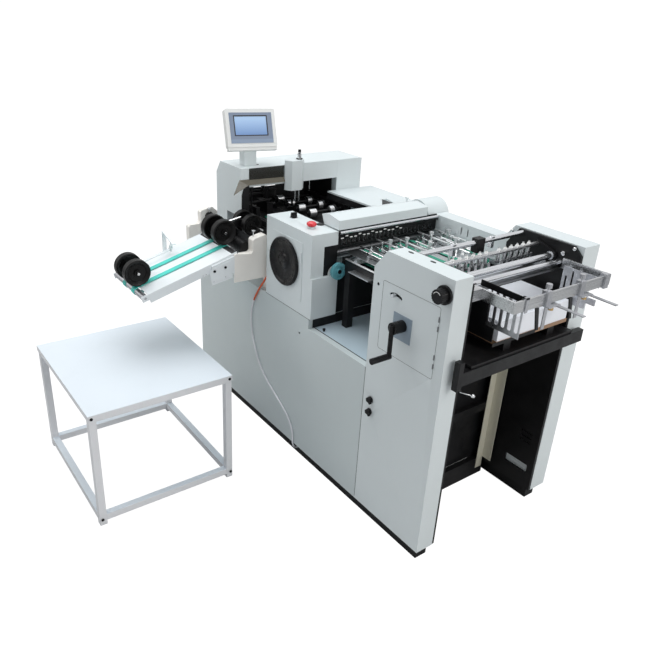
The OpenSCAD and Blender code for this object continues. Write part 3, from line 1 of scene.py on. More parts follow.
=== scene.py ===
"""Sheet-fed paper folding machine: how it looks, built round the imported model.

Lengths of the machine are worked out in millimetres on its own axes (x = 0 at the feeder end,
y = 0 at the operator's side, z = 0 on the floor); at() turns them into the frame's metres.
"""
import json
import math

import bmesh
import bpy
import numpy as np
from mathutils import Matrix, Vector


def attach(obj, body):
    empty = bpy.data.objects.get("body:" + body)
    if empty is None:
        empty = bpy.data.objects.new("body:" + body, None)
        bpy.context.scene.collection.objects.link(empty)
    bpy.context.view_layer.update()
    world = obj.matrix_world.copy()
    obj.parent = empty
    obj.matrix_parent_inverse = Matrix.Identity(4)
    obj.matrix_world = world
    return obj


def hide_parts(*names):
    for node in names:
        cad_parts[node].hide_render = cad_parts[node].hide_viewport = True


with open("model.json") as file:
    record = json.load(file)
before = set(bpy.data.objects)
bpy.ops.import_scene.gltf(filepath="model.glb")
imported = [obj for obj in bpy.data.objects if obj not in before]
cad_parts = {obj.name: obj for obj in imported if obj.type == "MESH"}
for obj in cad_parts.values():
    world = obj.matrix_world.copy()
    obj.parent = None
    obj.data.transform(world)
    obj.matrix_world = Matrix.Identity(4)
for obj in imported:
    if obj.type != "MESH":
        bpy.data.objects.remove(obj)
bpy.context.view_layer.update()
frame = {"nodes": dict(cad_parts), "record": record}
nodes = frame["nodes"]
body_of = {n: body for body, members in frame["record"]["behaviour"]["bodies"].items() for n in members}


# ---- Camera: stands beyond the feeder end on the operator's side, two metres over the floor, and looks
# down along the machine
frame_shift = (1123.5, -405.0)          # from the machine's own x and y to the frame's


def at(x, y, z):
    """The frame's metres for a point given in the machine's millimetres."""
    return np.array([(x + frame_shift[0]) / 1000, (y + frame_shift[1]) / 1000, z / 1000])


azimuth, elevation, roll = 0.913712, 0.440130, 0.0571212
focal_length, picture_width = 659.332, 650          # both in the picture's pixels
back = np.array([math.sin(azimuth) * math.cos(elevation), -math.cos(azimuth) * math.cos(elevation),
                 math.sin(elevation)])
level = np.cross(-back, [0, 0, 1])
level /= np.linalg.norm(level)
upright = np.cross(level, -back)
right = level * math.cos(roll) + upright * math.sin(roll)
up = upright * math.cos(roll) - level * math.sin(roll)
lens = bpy.data.cameras.new("camera")
lens.sensor_width = 36.0
lens.lens = lens.sensor_width * focal_length / picture_width
camera = bpy.data.objects.new("camera", lens)
bpy.context.scene.collection.objects.link(camera)
stand_at = at(1327.04, -1547.17, 1983.46)
camera.matrix_world = Matrix([[*row, p] for row, p in zip(np.stack([right, up, back], 1), stand_at)]
                             + [[0, 0, 0, 1]])
bpy.context.scene.camera = camera
bpy.context.scene.view_settings.view_transform = "Standard"


# ---- Connecting cable: a soft round lead that leaves the fold head's side, hangs down the cabinet in
# a loose S and goes in under the cabinet's lower edge. Its first stretch wears an orange sleeve.
def shade(name, colour, rough, metal=0.0, coat=0.0, specular=0.5, alpha=1.0):
    """A material with its Principled shader's plain values set; what varies is wired in afterwards."""
    material = bpy.data.materials.new(name)
    material.use_nodes = True
    shader = material.node_tree.nodes["Principled BSDF"]
    shader.inputs["Base Color"].default_value = (*colour, 1)
    for socket, value in (("Roughness", rough), ("Metallic", metal), ("Coat Weight", coat),
                          ("Specular IOR Level", specular), ("Alpha", alpha)):
        shader.inputs[socket].default_value = value
    return material


def effect(name, inputs, outputs):
    """An empty shader node group with its sockets; returns the group and its input and output nodes."""
    group = bpy.data.node_groups.new(name, "ShaderNodeTree")
    for socket, kind, value in inputs:
        made = group.interface.new_socket(socket, in_out="INPUT", socket_type=kind)
        made.default_value = value
    for socket, kind in outputs:
        group.interface.new_socket(socket, in_out="OUTPUT", socket_type=kind)
    return group, group.nodes.new("NodeGroupInput"), group.nodes.new("NodeGroupOutput")


def noise(group, scale, detail=3.0, roughness=0.5, vector=None):
    """A noise texture on the object's coordinates, or on another vector; returns its height output."""
    texture = group.nodes.new("ShaderNodeTexNoise")
    texture.inputs["Scale"].default_value = scale
    texture.inputs["Detail"].default_value = detail
    texture.inputs["Roughness"].default_value = roughness
    if vector is None:
        vector = group.nodes.new("ShaderNodeTexCoord").outputs["Object"]
    group.links.new(vector, texture.inputs["Vector"])
    return texture.outputs["Fac"]


def span(group, value, low, high, to_low, to_high):
    """The value's stretch from low to high, laid over to_low to to_high and held there."""
    node = group.nodes.new("ShaderNodeMapRange")
    for socket, end in (("From Min", low), ("From Max", high), ("To Min", to_low), ("To Max", to_high)):
        node.inputs[socket].default_value = end
    group.links.new(value, node.inputs["Value"])
    return node.outputs["Result"]


def figure(group, operation, a, b):
    """The sum, the product or the greater of a socket's value and another socket's, or a number."""
    node = group.nodes.new("ShaderNodeMath")
    node.operation = operation
    group.links.new(a, node.inputs[0])
    if isinstance(b, bpy.types.NodeSocket):
        group.links.new(b, node.inputs[1])
    else:
        node.inputs[1].default_value = b
    return node.outputs[0]


def blended(group, factor, a, b):
    """Colour a going to colour b as the factor rises; a and b are sockets or colours."""
    node = group.nodes.new("ShaderNodeMix")
    node.data_type = "RGBA"
    if isinstance(factor, bpy.types.NodeSocket):
        group.links.new(factor, node.inputs["Factor"])
    else:
        node.inputs["Factor"].default_value = factor
    for end, colour in (("A", a), ("B", b)):
        socket = [s for s in node.inputs if s.name == end and s.type == "RGBA"][0]
        if isinstance(colour, bpy.types.NodeSocket):
            group.links.new(colour, socket)
        else:
            socket.default_value = (*colour, 1)
    return [s for s in node.outputs if s.type == "RGBA"][0]


def wear(material, group, height=0.0002, **values):
    """Wires a group's Color, Roughness and Height into the material's shader."""
    tree = material.node_tree
    shader = tree.nodes["Principled BSDF"]
    node = tree.nodes.new("ShaderNodeGroup")
    node.node_tree = group
    for socket, value in values.items():
        node.inputs[socket].default_value = (*value, 1) if node.inputs[socket].type == "RGBA" else value
    tree.links.new(node.outputs["Color"], shader.inputs["Base Color"])
    tree.links.new(node.outputs["Roughness"], shader.inputs["Roughness"])
    bump = tree.nodes.new("ShaderNodeBump")
    bump.inputs["Distance"].default_value = height
    tree.links.new(node.outputs["Height"], bump.inputs["Height"])
    tree.links.new(bump.outputs["Normal"], shader.inputs["Normal"])
    return material


finish = (("Color", "NodeSocketColor"), ("Roughness", "NodeSocketFloat"), ("Height", "NodeSocketFloat"))
skin, given, out = effect("moulded_skin", [("Colour", "NodeSocketColor", (0.5, 0.5, 0.5, 1)),
                                           ("Gloss", "NodeSocketFloat", 0.4)], finish)
tone = span(skin, noise(skin, 9.0, 4.0), 0.35, 0.75, 0.0, 1.0)
dark = blended(skin, 0.25, given.outputs["Colour"], (0.0, 0.0, 0.0))
skin.links.new(blended(skin, tone, given.outputs["Colour"], dark), out.inputs["Color"])
rub = span(skin, noise(skin, 40.0, 5.0), 0.3, 0.7, -0.07, 0.09)
skin.links.new(figure(skin, "ADD", rub, given.outputs["Gloss"]), out.inputs["Roughness"])
skin.links.new(noise(skin, 900.0, 2.0), out.inputs["Height"])


def moulded(name, colour, gloss, coat=0.0, specular=0.5):
    """Moulded plastic, rubber or woven tape: darker patches, rubbed places and a fine grain."""
    return wear(shade(name, colour, gloss, coat=coat, specular=specular), skin, Colour=colour, Gloss=gloss)


route = np.array([[-1154, 24, 872], [-1160, 24, 870.5], [-1167, 22, 864], [-1171, 17, 851], [-1174, 10, 833],
                  [-1181, 3, 812], [-1193, -3, 790], [-1208, -6, 767], [-1230, -6, 735], [-1250, -6, 702],
                  [-1267, -6, 662], [-1278, -6, 620], [-1280, -6, 575], [-1275, -6, 530], [-1261, -6, 482],
                  [-1238, -6, 430], [-1208, -6, 380], [-1170, -6, 338], [-1125, -6, 304], [-1075, -6, 276],
                  [-1024, -6, 250], [-979, -6, 226], [-941, -6, 202], [-912, -6, 176], [-893, -6, 148],
                  [-882, -6, 118], [-879, -6, 90], [-879, -5, 68], [-879, 1, 49], [-879, 11, 37],
                  [-879, 21, 32], [-879, 27, 31]], float)


def smooth_route(points, steps):
    """Catmull-Rom curve through the points: each stretch is a cubic of its own four neighbours."""
    ends = np.vstack([points[:1], points, points[-1:]])
    a, b, c, d = (ends[k:k + len(points) - 1, None] for k in range(4))
    t = np.linspace(0, 1, steps, endpoint=False)[None, :, None]
    curve = 0.5 * (2 * b + (c - a) * t + (2 * a - 5 * b + 4 * c - d) * t ** 2
                   + (3 * b - a - 3 * c + d) * t ** 3)
    return np.vstack([curve.reshape(-1, 3), points[-1:]])


def grid_faces(rows, columns, wrap_rows=False):
    """Four-cornered faces between neighbouring rows of a grid of points whose columns close on themselves."""
    i = np.arange(rows if wrap_rows else rows - 1)[:, None]
    j = np.arange(columns)[None, :]
    i2, j2 = (i + 1) % rows, (j + 1) % columns
    return np.stack([i * columns + j, i * columns + j2, i2 * columns + j2, i2 * columns + j],
                    -1).reshape(-1, 4)


def tube(path, radius, sides=12):
    """Round section carried along a path; each ring stands square to the path. Ends are closed.
    The radius is one number or one for each point of the path."""
    path = np.asarray(path, float)
    along = np.gradient(path, axis=0)
    along /= np.linalg.norm(along, axis=1, keepdims=True)
    lean = np.array([0.31, 0.52, 0.79])
    if np.abs(along @ lean).max() >= 0.93:
        lean = np.array([0.9, -0.4, 0.17])
    first = np.cross(along, lean)
    first /= np.linalg.norm(first, axis=1, keepdims=True)
    second = np.cross(along, first)
    turn = np.linspace(0, 2 * np.pi, sides, endpoint=False)
    radius = np.broadcast_to(np.asarray(radius, float), len(path))[:, None, None]
    round_it = first[:, None] * np.cos(turn)[None, :, None] + second[:, None] * np.sin(turn)[None, :, None]
    rings = path[:, None] + radius * round_it
    caps = [list(range(sides))[::-1], list(range((len(path) - 1) * sides, len(path) * sides))]
    return rings.reshape(-1, 3), [*grid_faces(len(path), sides).tolist(), *caps]


def joined(parts):
    """Several (points, faces) lists as one, with the faces counted on."""
    points, faces, start = [], [], 0
    for p, f in parts:
        points.append(np.asarray(p, float))
        faces += [[v + start for v in face] for face in f]
        start += len(p)
    return np.vstack(points), faces


def soften(built, width, steps):
    """Rounds every edge that turns by more than 40 degrees, over a width in millimetres."""
    edge = built.modifiers.new("rounded_edges", "BEVEL")
    edge.width = width / 1000
    edge.segments = steps
    edge.limit_method = "ANGLE"
    edge.angle_limit = math.radians(40)
    edge.harden_normals = True
    edge.use_clamp_overlap = True


def piece(name, parts, material, body, stands_for=(), round_off=0.0, smooth=True):
    """Makes a mesh object from millimetre parts, faces outwards, rounds its edges and seats it on a body."""
    points, faces = joined(parts)
    mesh = bpy.data.meshes.new(name)
    mesh.from_pydata(at(*points.T).T.tolist(), [], faces)
    built = bpy.data.objects.new(name, mesh)
    bpy.context.scene.collection.objects.link(built)
    shell = bmesh.new()
    shell.from_mesh(mesh)
    bmesh.ops.recalc_face_normals(shell, faces=shell.faces)
    shell.to_mesh(mesh)
    shell.free()
    mesh.materials.append(material)
    if smooth:
        mesh.shade_smooth()
        mesh.set_sharp_from_angle(angle=math.radians(40))
    if round_off:
        soften(built, round_off, 2)
    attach(built, body)
    if stands_for:
        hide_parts(*stands_for)
    return built


cable_radius, sleeve_radius = 3.9, 4.5
cable_skin = moulded("cable_jacket", (0.96, 0.96, 1.0), 0.4)
sleeve_skin = moulded("cable_sleeve", (0.86, 0.13, 0.03), 0.36)
gland_skin = moulded("cable_gland", (0.05, 0.05, 0.055), 0.45)
cable_line = smooth_route(route, 4)
cable = piece("cable", [tube(cable_line, cable_radius, 14)], cable_skin, "machine", ["cord"])
sleeved = cable_line[1:38]
sleeve_radii = np.r_[np.full(len(sleeved) - 3, sleeve_radius), 4.45, 4.3, 4.0]
sleeve = piece("cable_sleeve", [tube(sleeved, sleeve_radii, 16)], sleeve_skin, "machine")
gland = piece("cable_gland", [tube([[-1153.8, 24, 872], [-1156, 24, 871.9]], 9.5, 6),
                              tube([[-1155.9, 24, 871.9], [-1160, 24, 870.5]], [7.0, 6.0], 20)],
              gland_skin, "machine", round_off=0.5)

# ---- Floor and light: a white studio floor, a broad soft lamp above and one from the right, and weak
# fill from the left and the front. The camera, glass and polished metal see a white room round it.
reach, under = 14, -0.0005
floor_mesh = bpy.data.meshes.new("floor")
floor_mesh.from_pydata([(-reach, -reach, under), (reach, -reach, under), (reach, reach, under),
                        (-reach, reach, under)], [], [(0, 1, 2, 3)])
floor = bpy.data.objects.new("floor", floor_mesh)
bpy.context.scene.collection.objects.link(floor)


def either(tree, share, first, second):
    """The first shader going over to the second as the share rises."""
    node = tree.nodes.new("ShaderNodeMixShader")
    for socket, output in zip(node.inputs, (share, first, second)):
        tree.links.new(output, socket)
    return node.outputs[0]


floor_skin = shade("floor", (0.66, 0.66, 0.66), 0.9)
tree = floor_skin.node_tree
glow = tree.nodes.new("ShaderNodeEmission")
glow.inputs["Strength"].default_value = 1.27
seen = figure(tree, "MULTIPLY", tree.nodes.new("ShaderNodeLightPath").outputs["Is Camera Ray"], 0.8)
shown = either(tree, seen, tree.nodes["Principled BSDF"].outputs[0], glow.outputs[0])
tree.links.new(shown, tree.nodes["Material Output"].inputs["Surface"])
floor_mesh.materials.append(floor_skin)

world = bpy.data.worlds.new("world")
bpy.context.scene.world = world
world.use_nodes = True
tree = world.node_tree
lit = tree.nodes["Background"]
lit.inputs["Color"].default_value = (0.93, 0.96, 1.0, 1)
lit.inputs["Strength"].default_value = 0.32
white = tree.nodes.new("ShaderNodeBackground")
white.inputs["Color"].default_value = (1, 1, 1, 1)
white.inputs["Strength"].default_value = 1.05
rays = tree.nodes.new("ShaderNodeLightPath").outputs
seen = figure(tree, "MAXIMUM", rays["Is Camera Ray"], rays["Is Transmission Ray"])
mirrored = figure(tree, "MULTIPLY", rays["Is Glossy Ray"], 0.62)
shown = either(tree, figure(tree, "MAXIMUM", seen, mirrored), lit.outputs[0], white.outputs[0])
tree.links.new(shown, tree.nodes["World Output"].inputs["Surface"])


def lamp(name, place, aim, size, watts, colour=(1, 1, 1)):
    """A soft rectangular lamp at place, turned towards aim; both in the frame's metres."""
    light = bpy.data.lights.new(name, "AREA")
    light.size = size
    light.energy = watts
    light.color = colour
    hung = bpy.data.objects.new(name, light)
    bpy.context.scene.collection.objects.link(hung)
    away = Vector(np.subtract(place, aim))
    hung.matrix_world = Matrix.Translation(place) @ away.to_track_quat("Z", "Y").to_matrix().to_4x4()


lamp("top_light", (-0.5, -0.4, 4.6), (0, 0, 0.6), 4.2, 144, (0.95, 0.985, 1.0))
lamp("right_light", (4.8, 1.0, 2.6), (0, 0, 0.9), 2.6, 86, (1.0, 0.985, 0.96))
lamp("left_fill", (-1.9, -2.6, 2.7), (-0.9, -0.4, 1.25), 1.1, 18, (1.0, 0.975, 0.93))
lamp("front_fill", (1.2, -4.4, 1.9), (0, 0, 0.7), 3.2, 7, (0.96, 0.99, 1.0))


# ---- Plinth: two runners and their cross members, of steel section in black satin paint. The white
# bodies stand on it, and it is set back from their faces all round.
satin, given, out = effect("satin_paint", [("Colour", "NodeSocketColor", (0.02, 0.02, 0.022, 1)),
                                           ("Gloss", "NodeSocketFloat", 0.35),
                                           ("Dust", "NodeSocketFloat", 0.25)], finish)
facing = satin.nodes.new("ShaderNodeSeparateXYZ")
satin.links.new(satin.nodes.new("ShaderNodeNewGeometry").outputs["Normal"], facing.inputs[0])
upward = span(satin, facing.outputs["Z"], 0.3, 1.0, 0.0, 1.0)
settled = figure(satin, "MULTIPLY", upward, span(satin, noise(satin, 26.0, 6.0, 0.6), 0.42, 0.75, 0.0, 1.0))
dust = figure(satin, "MULTIPLY", settled, given.outputs["Dust"])
patch = span(satin, noise(satin, 7.0, 3.0), 0.3, 0.7, 0.0, 0.35)
patchy = blended(satin, patch, given.outputs["Colour"], (0.0, 0.0, 0.0))
satin.links.new(blended(satin, dust, patchy, (0.36, 0.35, 0.33)), out.inputs["Color"])
rub = span(satin, noise(satin, 18.0, 6.0, 0.6), 0.3, 0.7, -0.08, 0.14)
satin.links.new(figure(satin, "ADD", rub, given.outputs["Gloss"]), out.inputs["Roughness"])
satin.links.new(noise(satin, 620.0, 2.0), out.inputs["Height"])


def dressed(node, material, round_off=0.0, steps=2):
    """A copy of a CAD node with its triangles merged into whole faces and its edges rounded; it stands
    for the node and keeps every dimension."""
    mesh = nodes[node].data.copy()
    mesh.name = node + "_finished"
    shell = bmesh.new()
    shell.from_mesh(mesh)
    bmesh.ops.remove_doubles(shell, verts=shell.verts, dist=4e-6)
    bmesh.ops.dissolve_limit(shell, angle_limit=math.radians(0.4), verts=shell.verts, edges=shell.edges)
    shell.to_mesh(mesh)
    shell.free()
    mesh.materials.clear()
    mesh.materials.append(material)
    for polygon in mesh.polygons:
        polygon.material_index = 0
    mesh.shade_smooth()
    mesh.set_sharp_from_angle(angle=math.radians(35))
    built = bpy.data.objects.new(node + "_finished", mesh)
    bpy.context.scene.collection.objects.link(built)
    if round_off:
        soften(built, round_off, steps)
    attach(built, body_of[node])
    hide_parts(node)
    return built


black_coat = wear(shade("black_coat", (0.007, 0.007, 0.008), 0.38, specular=0.3), satin,
                  Colour=(0.007, 0.007, 0.008), Gloss=0.38, Dust=0.03)
dressed("base_plinth", black_coat, 1.5)

# ---- White covers: folded sheet steel in a smooth white powder coat, screwed to the frame inside. The
# drive casing, fold head, drive-side covers and gantry wear one white; the cabinet wears a greyer copy of
# it, which is painted shade for the shadow on the cabinet's sides.
powder, given, out = effect("powder_coat", [("Colour", "NodeSocketColor", (0.8, 0.82, 0.83, 1))], finish)
deeper = blended(powder, 0.5, given.outputs["Colour"], (0.42, 0.45, 0.46))
cloud = span(powder, noise(powder, 1.7, 3.0, 0.45), 0.3, 0.7, 0.0, 0.16)
smudge = span(powder, noise(powder, 11.0, 7.0, 0.62), 0.55, 0.8, 0.0, 0.1)
handled = figure(powder, "ADD", cloud, smudge)
powder.links.new(blended(powder, handled, given.outputs["Colour"], deeper), out.inputs["Color"])
powder.links.new(span(powder, noise(powder, 16.0, 6.0, 0.6), 0.3, 0.7, 0.34, 0.5), out.inputs["Roughness"])
powder.links.new(noise(powder, 480.0, 2.0), out.inputs["Height"])


def powder_coat(name, colour):
    """Powder coat: soft clouds of tone, a little handling grease, fine orange peel."""
    return wear(shade(name, colour, 0.42, coat=0.12), powder, 0.00012, Colour=colour)


white_coat = powder_coat("white_coat", (0.72, 0.775, 0.785))
# The cabinet's greyer coat is painted shade: the whole cabinet is darkened for the shadow on its sides.
cabinet_coat_painted_shade = powder_coat("cabinet_coat_painted_shade", (0.61, 0.67, 0.675))
dressed("base_cabinet", cabinet_coat_painted_shade, 1.5, 3)
for node, radius in (("drive_casing", 3.0), ("head_box", 2.5), ("head_panel", 0.7), ("bridge_cover", 3.0),
                     ("rear_covers", 2.5), ("motor_cover", 3.0), ("gantry", 3.0)):
    dressed(node, white_coat, radius, 3)

# ---- Operator's casing: a hollow casing of white sheet steel, its inside faces painted near black as
# painted shade. Its front panel sits in a shallow seat, and a thin dark line round it is painted shade in
# that seat; a bent slot in it shows the speed lever. Crank, knob and latch keys are black mouldings, with a
# chrome cap on the crank and zinc rings under the keys.
casing_inside_painted_shade = moulded("casing_inside_painted_shade", (0.006, 0.006, 0.007), 0.8)
# This near-black coat is painted shade where it lines seams, grooves, vent openings, a recess and the rods'
# shadows; on the screen it is the inner frame's own dark colour.
trim_and_shade_coat = moulded("dark_trim_and_painted_shade", (0.02, 0.02, 0.022), 0.6)
black_skin = moulded("black_plastic", (0.007, 0.007, 0.008), 0.3, specular=0.22)
blue_grey = powder_coat("blue_grey_coat", (0.26, 0.33, 0.4))
cast_coat = powder_coat("cast_coat", (0.84, 0.84, 0.82))
drawn, given, out = effect("drawn_steel", [("Colour", "NodeSocketColor", (0.6, 0.6, 0.6, 1)),
                                           ("Gloss", "NodeSocketFloat", 0.3),
                                           ("Stretch", "NodeSocketVector", (3.0, 300.0, 300.0))], finish)
scaled = drawn.nodes.new("ShaderNodeVectorMath")
scaled.operation = "MULTIPLY"
drawn.links.new(drawn.nodes.new("ShaderNodeTexCoord").outputs["Object"], scaled.inputs[0])
drawn.links.new(given.outputs["Stretch"], scaled.inputs[1])
line = noise(drawn, 1.0, 6.0, 0.65, scaled.outputs[0])
lined = blended(drawn, span(drawn, line, 0.3, 0.7, 0.0, 0.35), given.outputs["Colour"], (0.12, 0.12, 0.13))
drawn.links.new(lined, out.inputs["Color"])
rub = span(drawn, line, 0.3, 0.7, -0.07, 0.12)
drawn.links.new(figure(drawn, "ADD", rub, given.outputs["Gloss"]), out.inputs["Roughness"])
drawn.links.new(line, out.inputs["Height"])


def steel(name, colour, gloss, stretch):
    """Bare metal with fine lines drawn along the axis whose stretch is small."""
    return wear(shade(name, colour, gloss, metal=1.0), drawn, 0.00003, Colour=colour, Gloss=gloss,
                Stretch=stretch)


chrome = steel("chrome", (0.86, 0.87, 0.88), 0.1, (200.0, 200.0, 200.0))
bright_steel = steel("bright_steel", (0.68, 0.69, 0.7), 0.25, (240.0, 3.0, 240.0))
dark_steel = steel("dark_steel", (0.26, 0.27, 0.28), 0.3, (300.0, 4.0, 300.0))
zinc = steel("zinc", (0.62, 0.63, 0.66), 0.3, (60.0, 60.0, 60.0))


def second_finish(built, material, where):
    """Gives another finish to the faces that where(x, y, z, nx, ny, nz) picks: their centres in the
    machine's millimetres and their outward directions."""
    faces = built.data.polygons
    centre, outward = np.empty(len(faces) * 3), np.empty(len(faces) * 3)
    faces.foreach_get("center", centre)
    faces.foreach_get("normal", outward)
    x, y, z = (centre.reshape(-1, 3) * 1000 - [*frame_shift, 0]).T
    index = np.empty(len(faces), np.int32)
    faces.foreach_get("material_index", index)
    built.data.materials.append(material)
    index[where(x, y, z, *outward.reshape(-1, 3).T)] = len(built.data.materials) - 1
    faces.foreach_set("material_index", index)
    return built


def block(x0, x1, y0, y1, z0, z1):
    """A box by its limits."""
    corners = [(x, y, z) for x in (x0, x1) for y in (y0, y1) for z in (z0, z1)]
    return corners, [(0, 1, 3, 2), (4, 6, 7, 5), (0, 4, 5, 1), (2, 3, 7, 6), (0, 2, 6, 4), (1, 5, 7, 3)]


def turned(profile, centre, axis="z", sides=32):
    """A profile of (radius, height) pairs turned about an axis through the centre; both ends closed."""
    turn = np.linspace(0, 2 * np.pi, sides, endpoint=False)
    r, h = np.array(profile, float).T[:, :, None]
    ring = [r * np.cos(turn), r * np.sin(turn), h + 0 * turn]
    order = {"z": (0, 1, 2), "y": (0, 2, 1), "x": (2, 0, 1)}[axis]
    points = np.stack([ring[k] for k in order], -1) + np.array(centre, float)
    caps = [list(range(sides)), list(range((len(profile) - 1) * sides, len(profile) * sides))]
    return points.reshape(-1, 3), [*grid_faces(len(profile), sides).tolist(), *caps]


def plate(outline, axis, low, high):
    """A flat outline with a thickness along the axis; its points are the other two coordinates in order."""
    flat = np.array(outline, float)
    layers = [np.insert(flat, "xyz".index(axis), level, axis=1) for level in (low, high)]
    count = len(flat)
    return np.vstack(layers), [*grid_faces(2, count).tolist(), list(range(count)),
                               list(range(count, 2 * count))]


def round_corners(x0, x1, z0, z1, r):
    """The line round a rectangle with quarter-circle corners, in x and z."""
    quarter = np.linspace(0, np.pi / 2, 7)
    corners = [(x1 - r, z1 - r, 0), (x0 + r, z1 - r, 1), (x0 + r, z0 + r, 2), (x1 - r, z0 + r, 3)]
    return np.array([(cx + r * math.cos(a + k * math.pi / 2), cz + r * math.sin(a + k * math.pi / 2))
                     for cx, cz, k in corners for a in quarter])


casing_length, casing_depth, casing_top, sheet = 398, 86, 1227, 4
casing = dressed("operator_casing", white_coat, 3.0, 3)
# The casing's inside faces get a near-black coat: painted shade inside the hollow casing.
second_finish(casing, casing_inside_painted_shade, lambda x, y, z, nx, ny, nz:
              (y > sheet - 0.1) & (y < casing_depth - sheet + 0.2) & (x > sheet - casing_length - 0.2)
              & (x < 0.2 - sheet) & (z < casing_top - sheet + 0.2))
panel = dressed("crank_panel", white_coat, 0.8)
second_finish(panel, blue_grey, lambda x, y, z, nx, ny, nz: (y < -0.5) & (abs(x + 220) < 60) & (z < 1020))
second_finish(panel, dark_steel, lambda x, y, z, nx, ny, nz: (y < -0.2) & (x > -52))
panel_line = round_corners(-340.5, -46.5, 836.5, 1113.5, 8.5)
panel_loop = np.insert(np.vstack([panel_line, panel_line[:2]]), 1, 0.2, axis=1)
# The dark line round the panel is painted shade in its seat.
piece("panel_seam", [tube(panel_loop, 0.75, 6)], trim_and_shade_coat, "machine")
vents, vent_y = (-280, -168), 63
around = np.linspace(0, 2 * np.pi, 33)[:-1]
ovals = [[(x + 13.5 * math.cos(a), vent_y + 5.5 * math.sin(a)) for a in around] for x in vents]
# The dark ovals stand for the vents' openings: painted shade.
piece("casing_ovals", [plate(oval, "z", casing_top - 2, casing_top + 1.3) for oval in ovals], trim_and_shade_coat,
      "machine", smooth=False)
piece("casing_plugs", [block(x - 14, x + 14, 37, 49, casing_top - 3, casing_top + 0.05) for x in vents],
      white_coat, "machine", smooth=False)
dressed("crank", black_skin, 1.5)
piece("crank_cap", [turned([(0.1, 0), (9, 0), (8, 3), (0.1, 3.4)], (-217, -57, 977), "y", 24)], chrome,
      "lift_crank")
dressed("feeder_knob", black_skin, 1.0)
arc = np.radians(np.linspace(35, 160, 16))
mark_radius = 17
mark_line = np.c_[-37 + mark_radius * np.cos(arc), np.full(16, -40.2), 1165 + mark_radius * np.sin(arc)]
piece("knob_mark", [tube(mark_line, 1.1, 6)], cast_coat, "feeder_dial")
dressed("speed_lever", bright_steel, 0.5)
for node in ("latch_upper", "latch_lower"):
    dressed(node, black_skin, 0.8)
latch_heights = {"upper_latch": 594, "lower_latch": 538}
for body, z in latch_heights.items():
    key_line = [(-365, z + 4), (-357, z + 12), (-342, z + 11), (-337, z + 1), (-339, z - 14), (-345, z - 15),
                (-348, z - 10), (-362, z - 9)]
    piece(body + "_key", [plate(key_line, "y", -15, -4)], black_skin, body, round_off=1.0)
# The dark strip at the casing's edge is painted shade in its joint to the cabinet.
piece("casing_seam", [block(-399.4, -397.8, -0.5, 0.3, 75, 722)], trim_and_shade_coat, "machine",
      smooth=False)
piece("latch_rings", [turned([(0.1, 0), (16, 0), (15, 1.6), (0.1, 1.8)], (-352, -0.2, z), "y", 28)
                      for z in latch_heights.values()], zinc, "machine")

# ---- Pile bay: black frame plates with chrome bolts, ivory posts of angle steel and the lifting screw.
# The pile table between them is black steel work, with a stack of white paper on a brown board.
ivory_coat = powder_coat("ivory_coat", (0.74, 0.71, 0.58))
paper_skin = powder_coat("paper_skin", (0.86, 0.88, 0.93))
board_skin = powder_coat("board_brown", (0.3, 0.17, 0.09))


def bar(start, end, diameter, sides=20):
    """A round bar between two points."""
    return tube([start, end], diameter / 2, sides)


dressed("bay_frame", black_coat, 1.0)
plate_face = 700.5
bolt_head = [(0.1, 0), (7, 0), (7, -5), (4, -6.5), (0.1, -6.5)]
stud_end = [(0.1, 0), (9, 0), (9, -14), (6, -15), (0.1, -15)]
piece("frame_bolts", [turned(bolt_head, (x, plate_face, z), "y", 20) for x, z in ((-337, 1204), (-35, 1214))]
      + [turned(stud_end, (-74, plate_face, 1186), "y", 20)], chrome, "machine")
dressed("lift_posts", ivory_coat, 1.0)
dressed("lift_spindle", zinc, 0.5)
dressed("pile_table", black_coat, 1.0)
board_low, board_top = 941, 955
pile = dressed("paper_pile", paper_skin, 0.3)
second_finish(pile, board_skin, lambda x, y, z, nx, ny, nz: z < board_top + 0.1)
second_finish(pile, black_coat, lambda x, y, z, nx, ny, nz: z < board_low - 0.1)
piece("board_shade", [block(24.6, 25.8, 212, 455, board_low, board_top)], black_coat, "pile_lift",
      smooth=False)
lever_ball = turned([(0.1, -7), (5, -6), (7.5, 0), (5, 6), (0.1, 7)], (96, 60, 825), "x", 16)
piece("table_lever", [bar((40.1, 60, 812), (92, 60, 824), 6, 12), lever_ball], chrome, "pile_lift")

# ---- Feeder: chrome cross rods with black clamps, the nozzle bar with pale cones on its nozzles, and the
# separator comb of bright spring steel. Guide plates and tail guides slide on the rails over the pile.
chrome_rod = steel("chrome_rod", (0.93, 0.95, 0.98), 0.16, (240.0, 5.0, 240.0))
brass = steel("brass", (0.72, 0.48, 0.2), 0.26, (90.0, 90.0, 90.0))
rods = dressed("feeder_bars", chrome_rod, 0.4)
second_finish(rods, black_coat, lambda x, y, z, nx, ny, nz: (abs(x + 285) < 18) & (y > 400) & (y < 455))
second_finish(rods, dark_steel, lambda x, y, z, nx, ny, nz: (abs(x + 85) < 13) & (z < 1131))
piece("rod_tubes", [bar((-285, 99, 1210), (-285, 700, 1210), 21, 28),
                    bar((-124, 126, 1164), (-124, 675, 1164), 27, 32),
                    bar((-85, 99, 1149), (-85, 700, 1149), 22, 28)], chrome_rod, "machine")
arm_near, arm_far = 111.2, 687.8        # y of the swinging arms' inner faces
nozzles = dressed("nozzle_bar", bright_steel, 0.4)
second_finish(nozzles, black_coat, lambda x, y, z, nx, ny, nz: (y < arm_near) | (y > arm_far))
second_finish(nozzles, cast_coat, lambda x, y, z, nx, ny, nz:
              (z > 1199.4) & (z < 1207) & (y > arm_near) & (y < arm_far))
second_finish(nozzles, dark_steel, lambda x, y, z, nx, ny, nz: (z < 1158) & (y > arm_near) & (y < arm_far))
dressed("separator_comb", bright_steel)
frame_rails = dressed("side_rail_frame", bright_steel, 0.6)
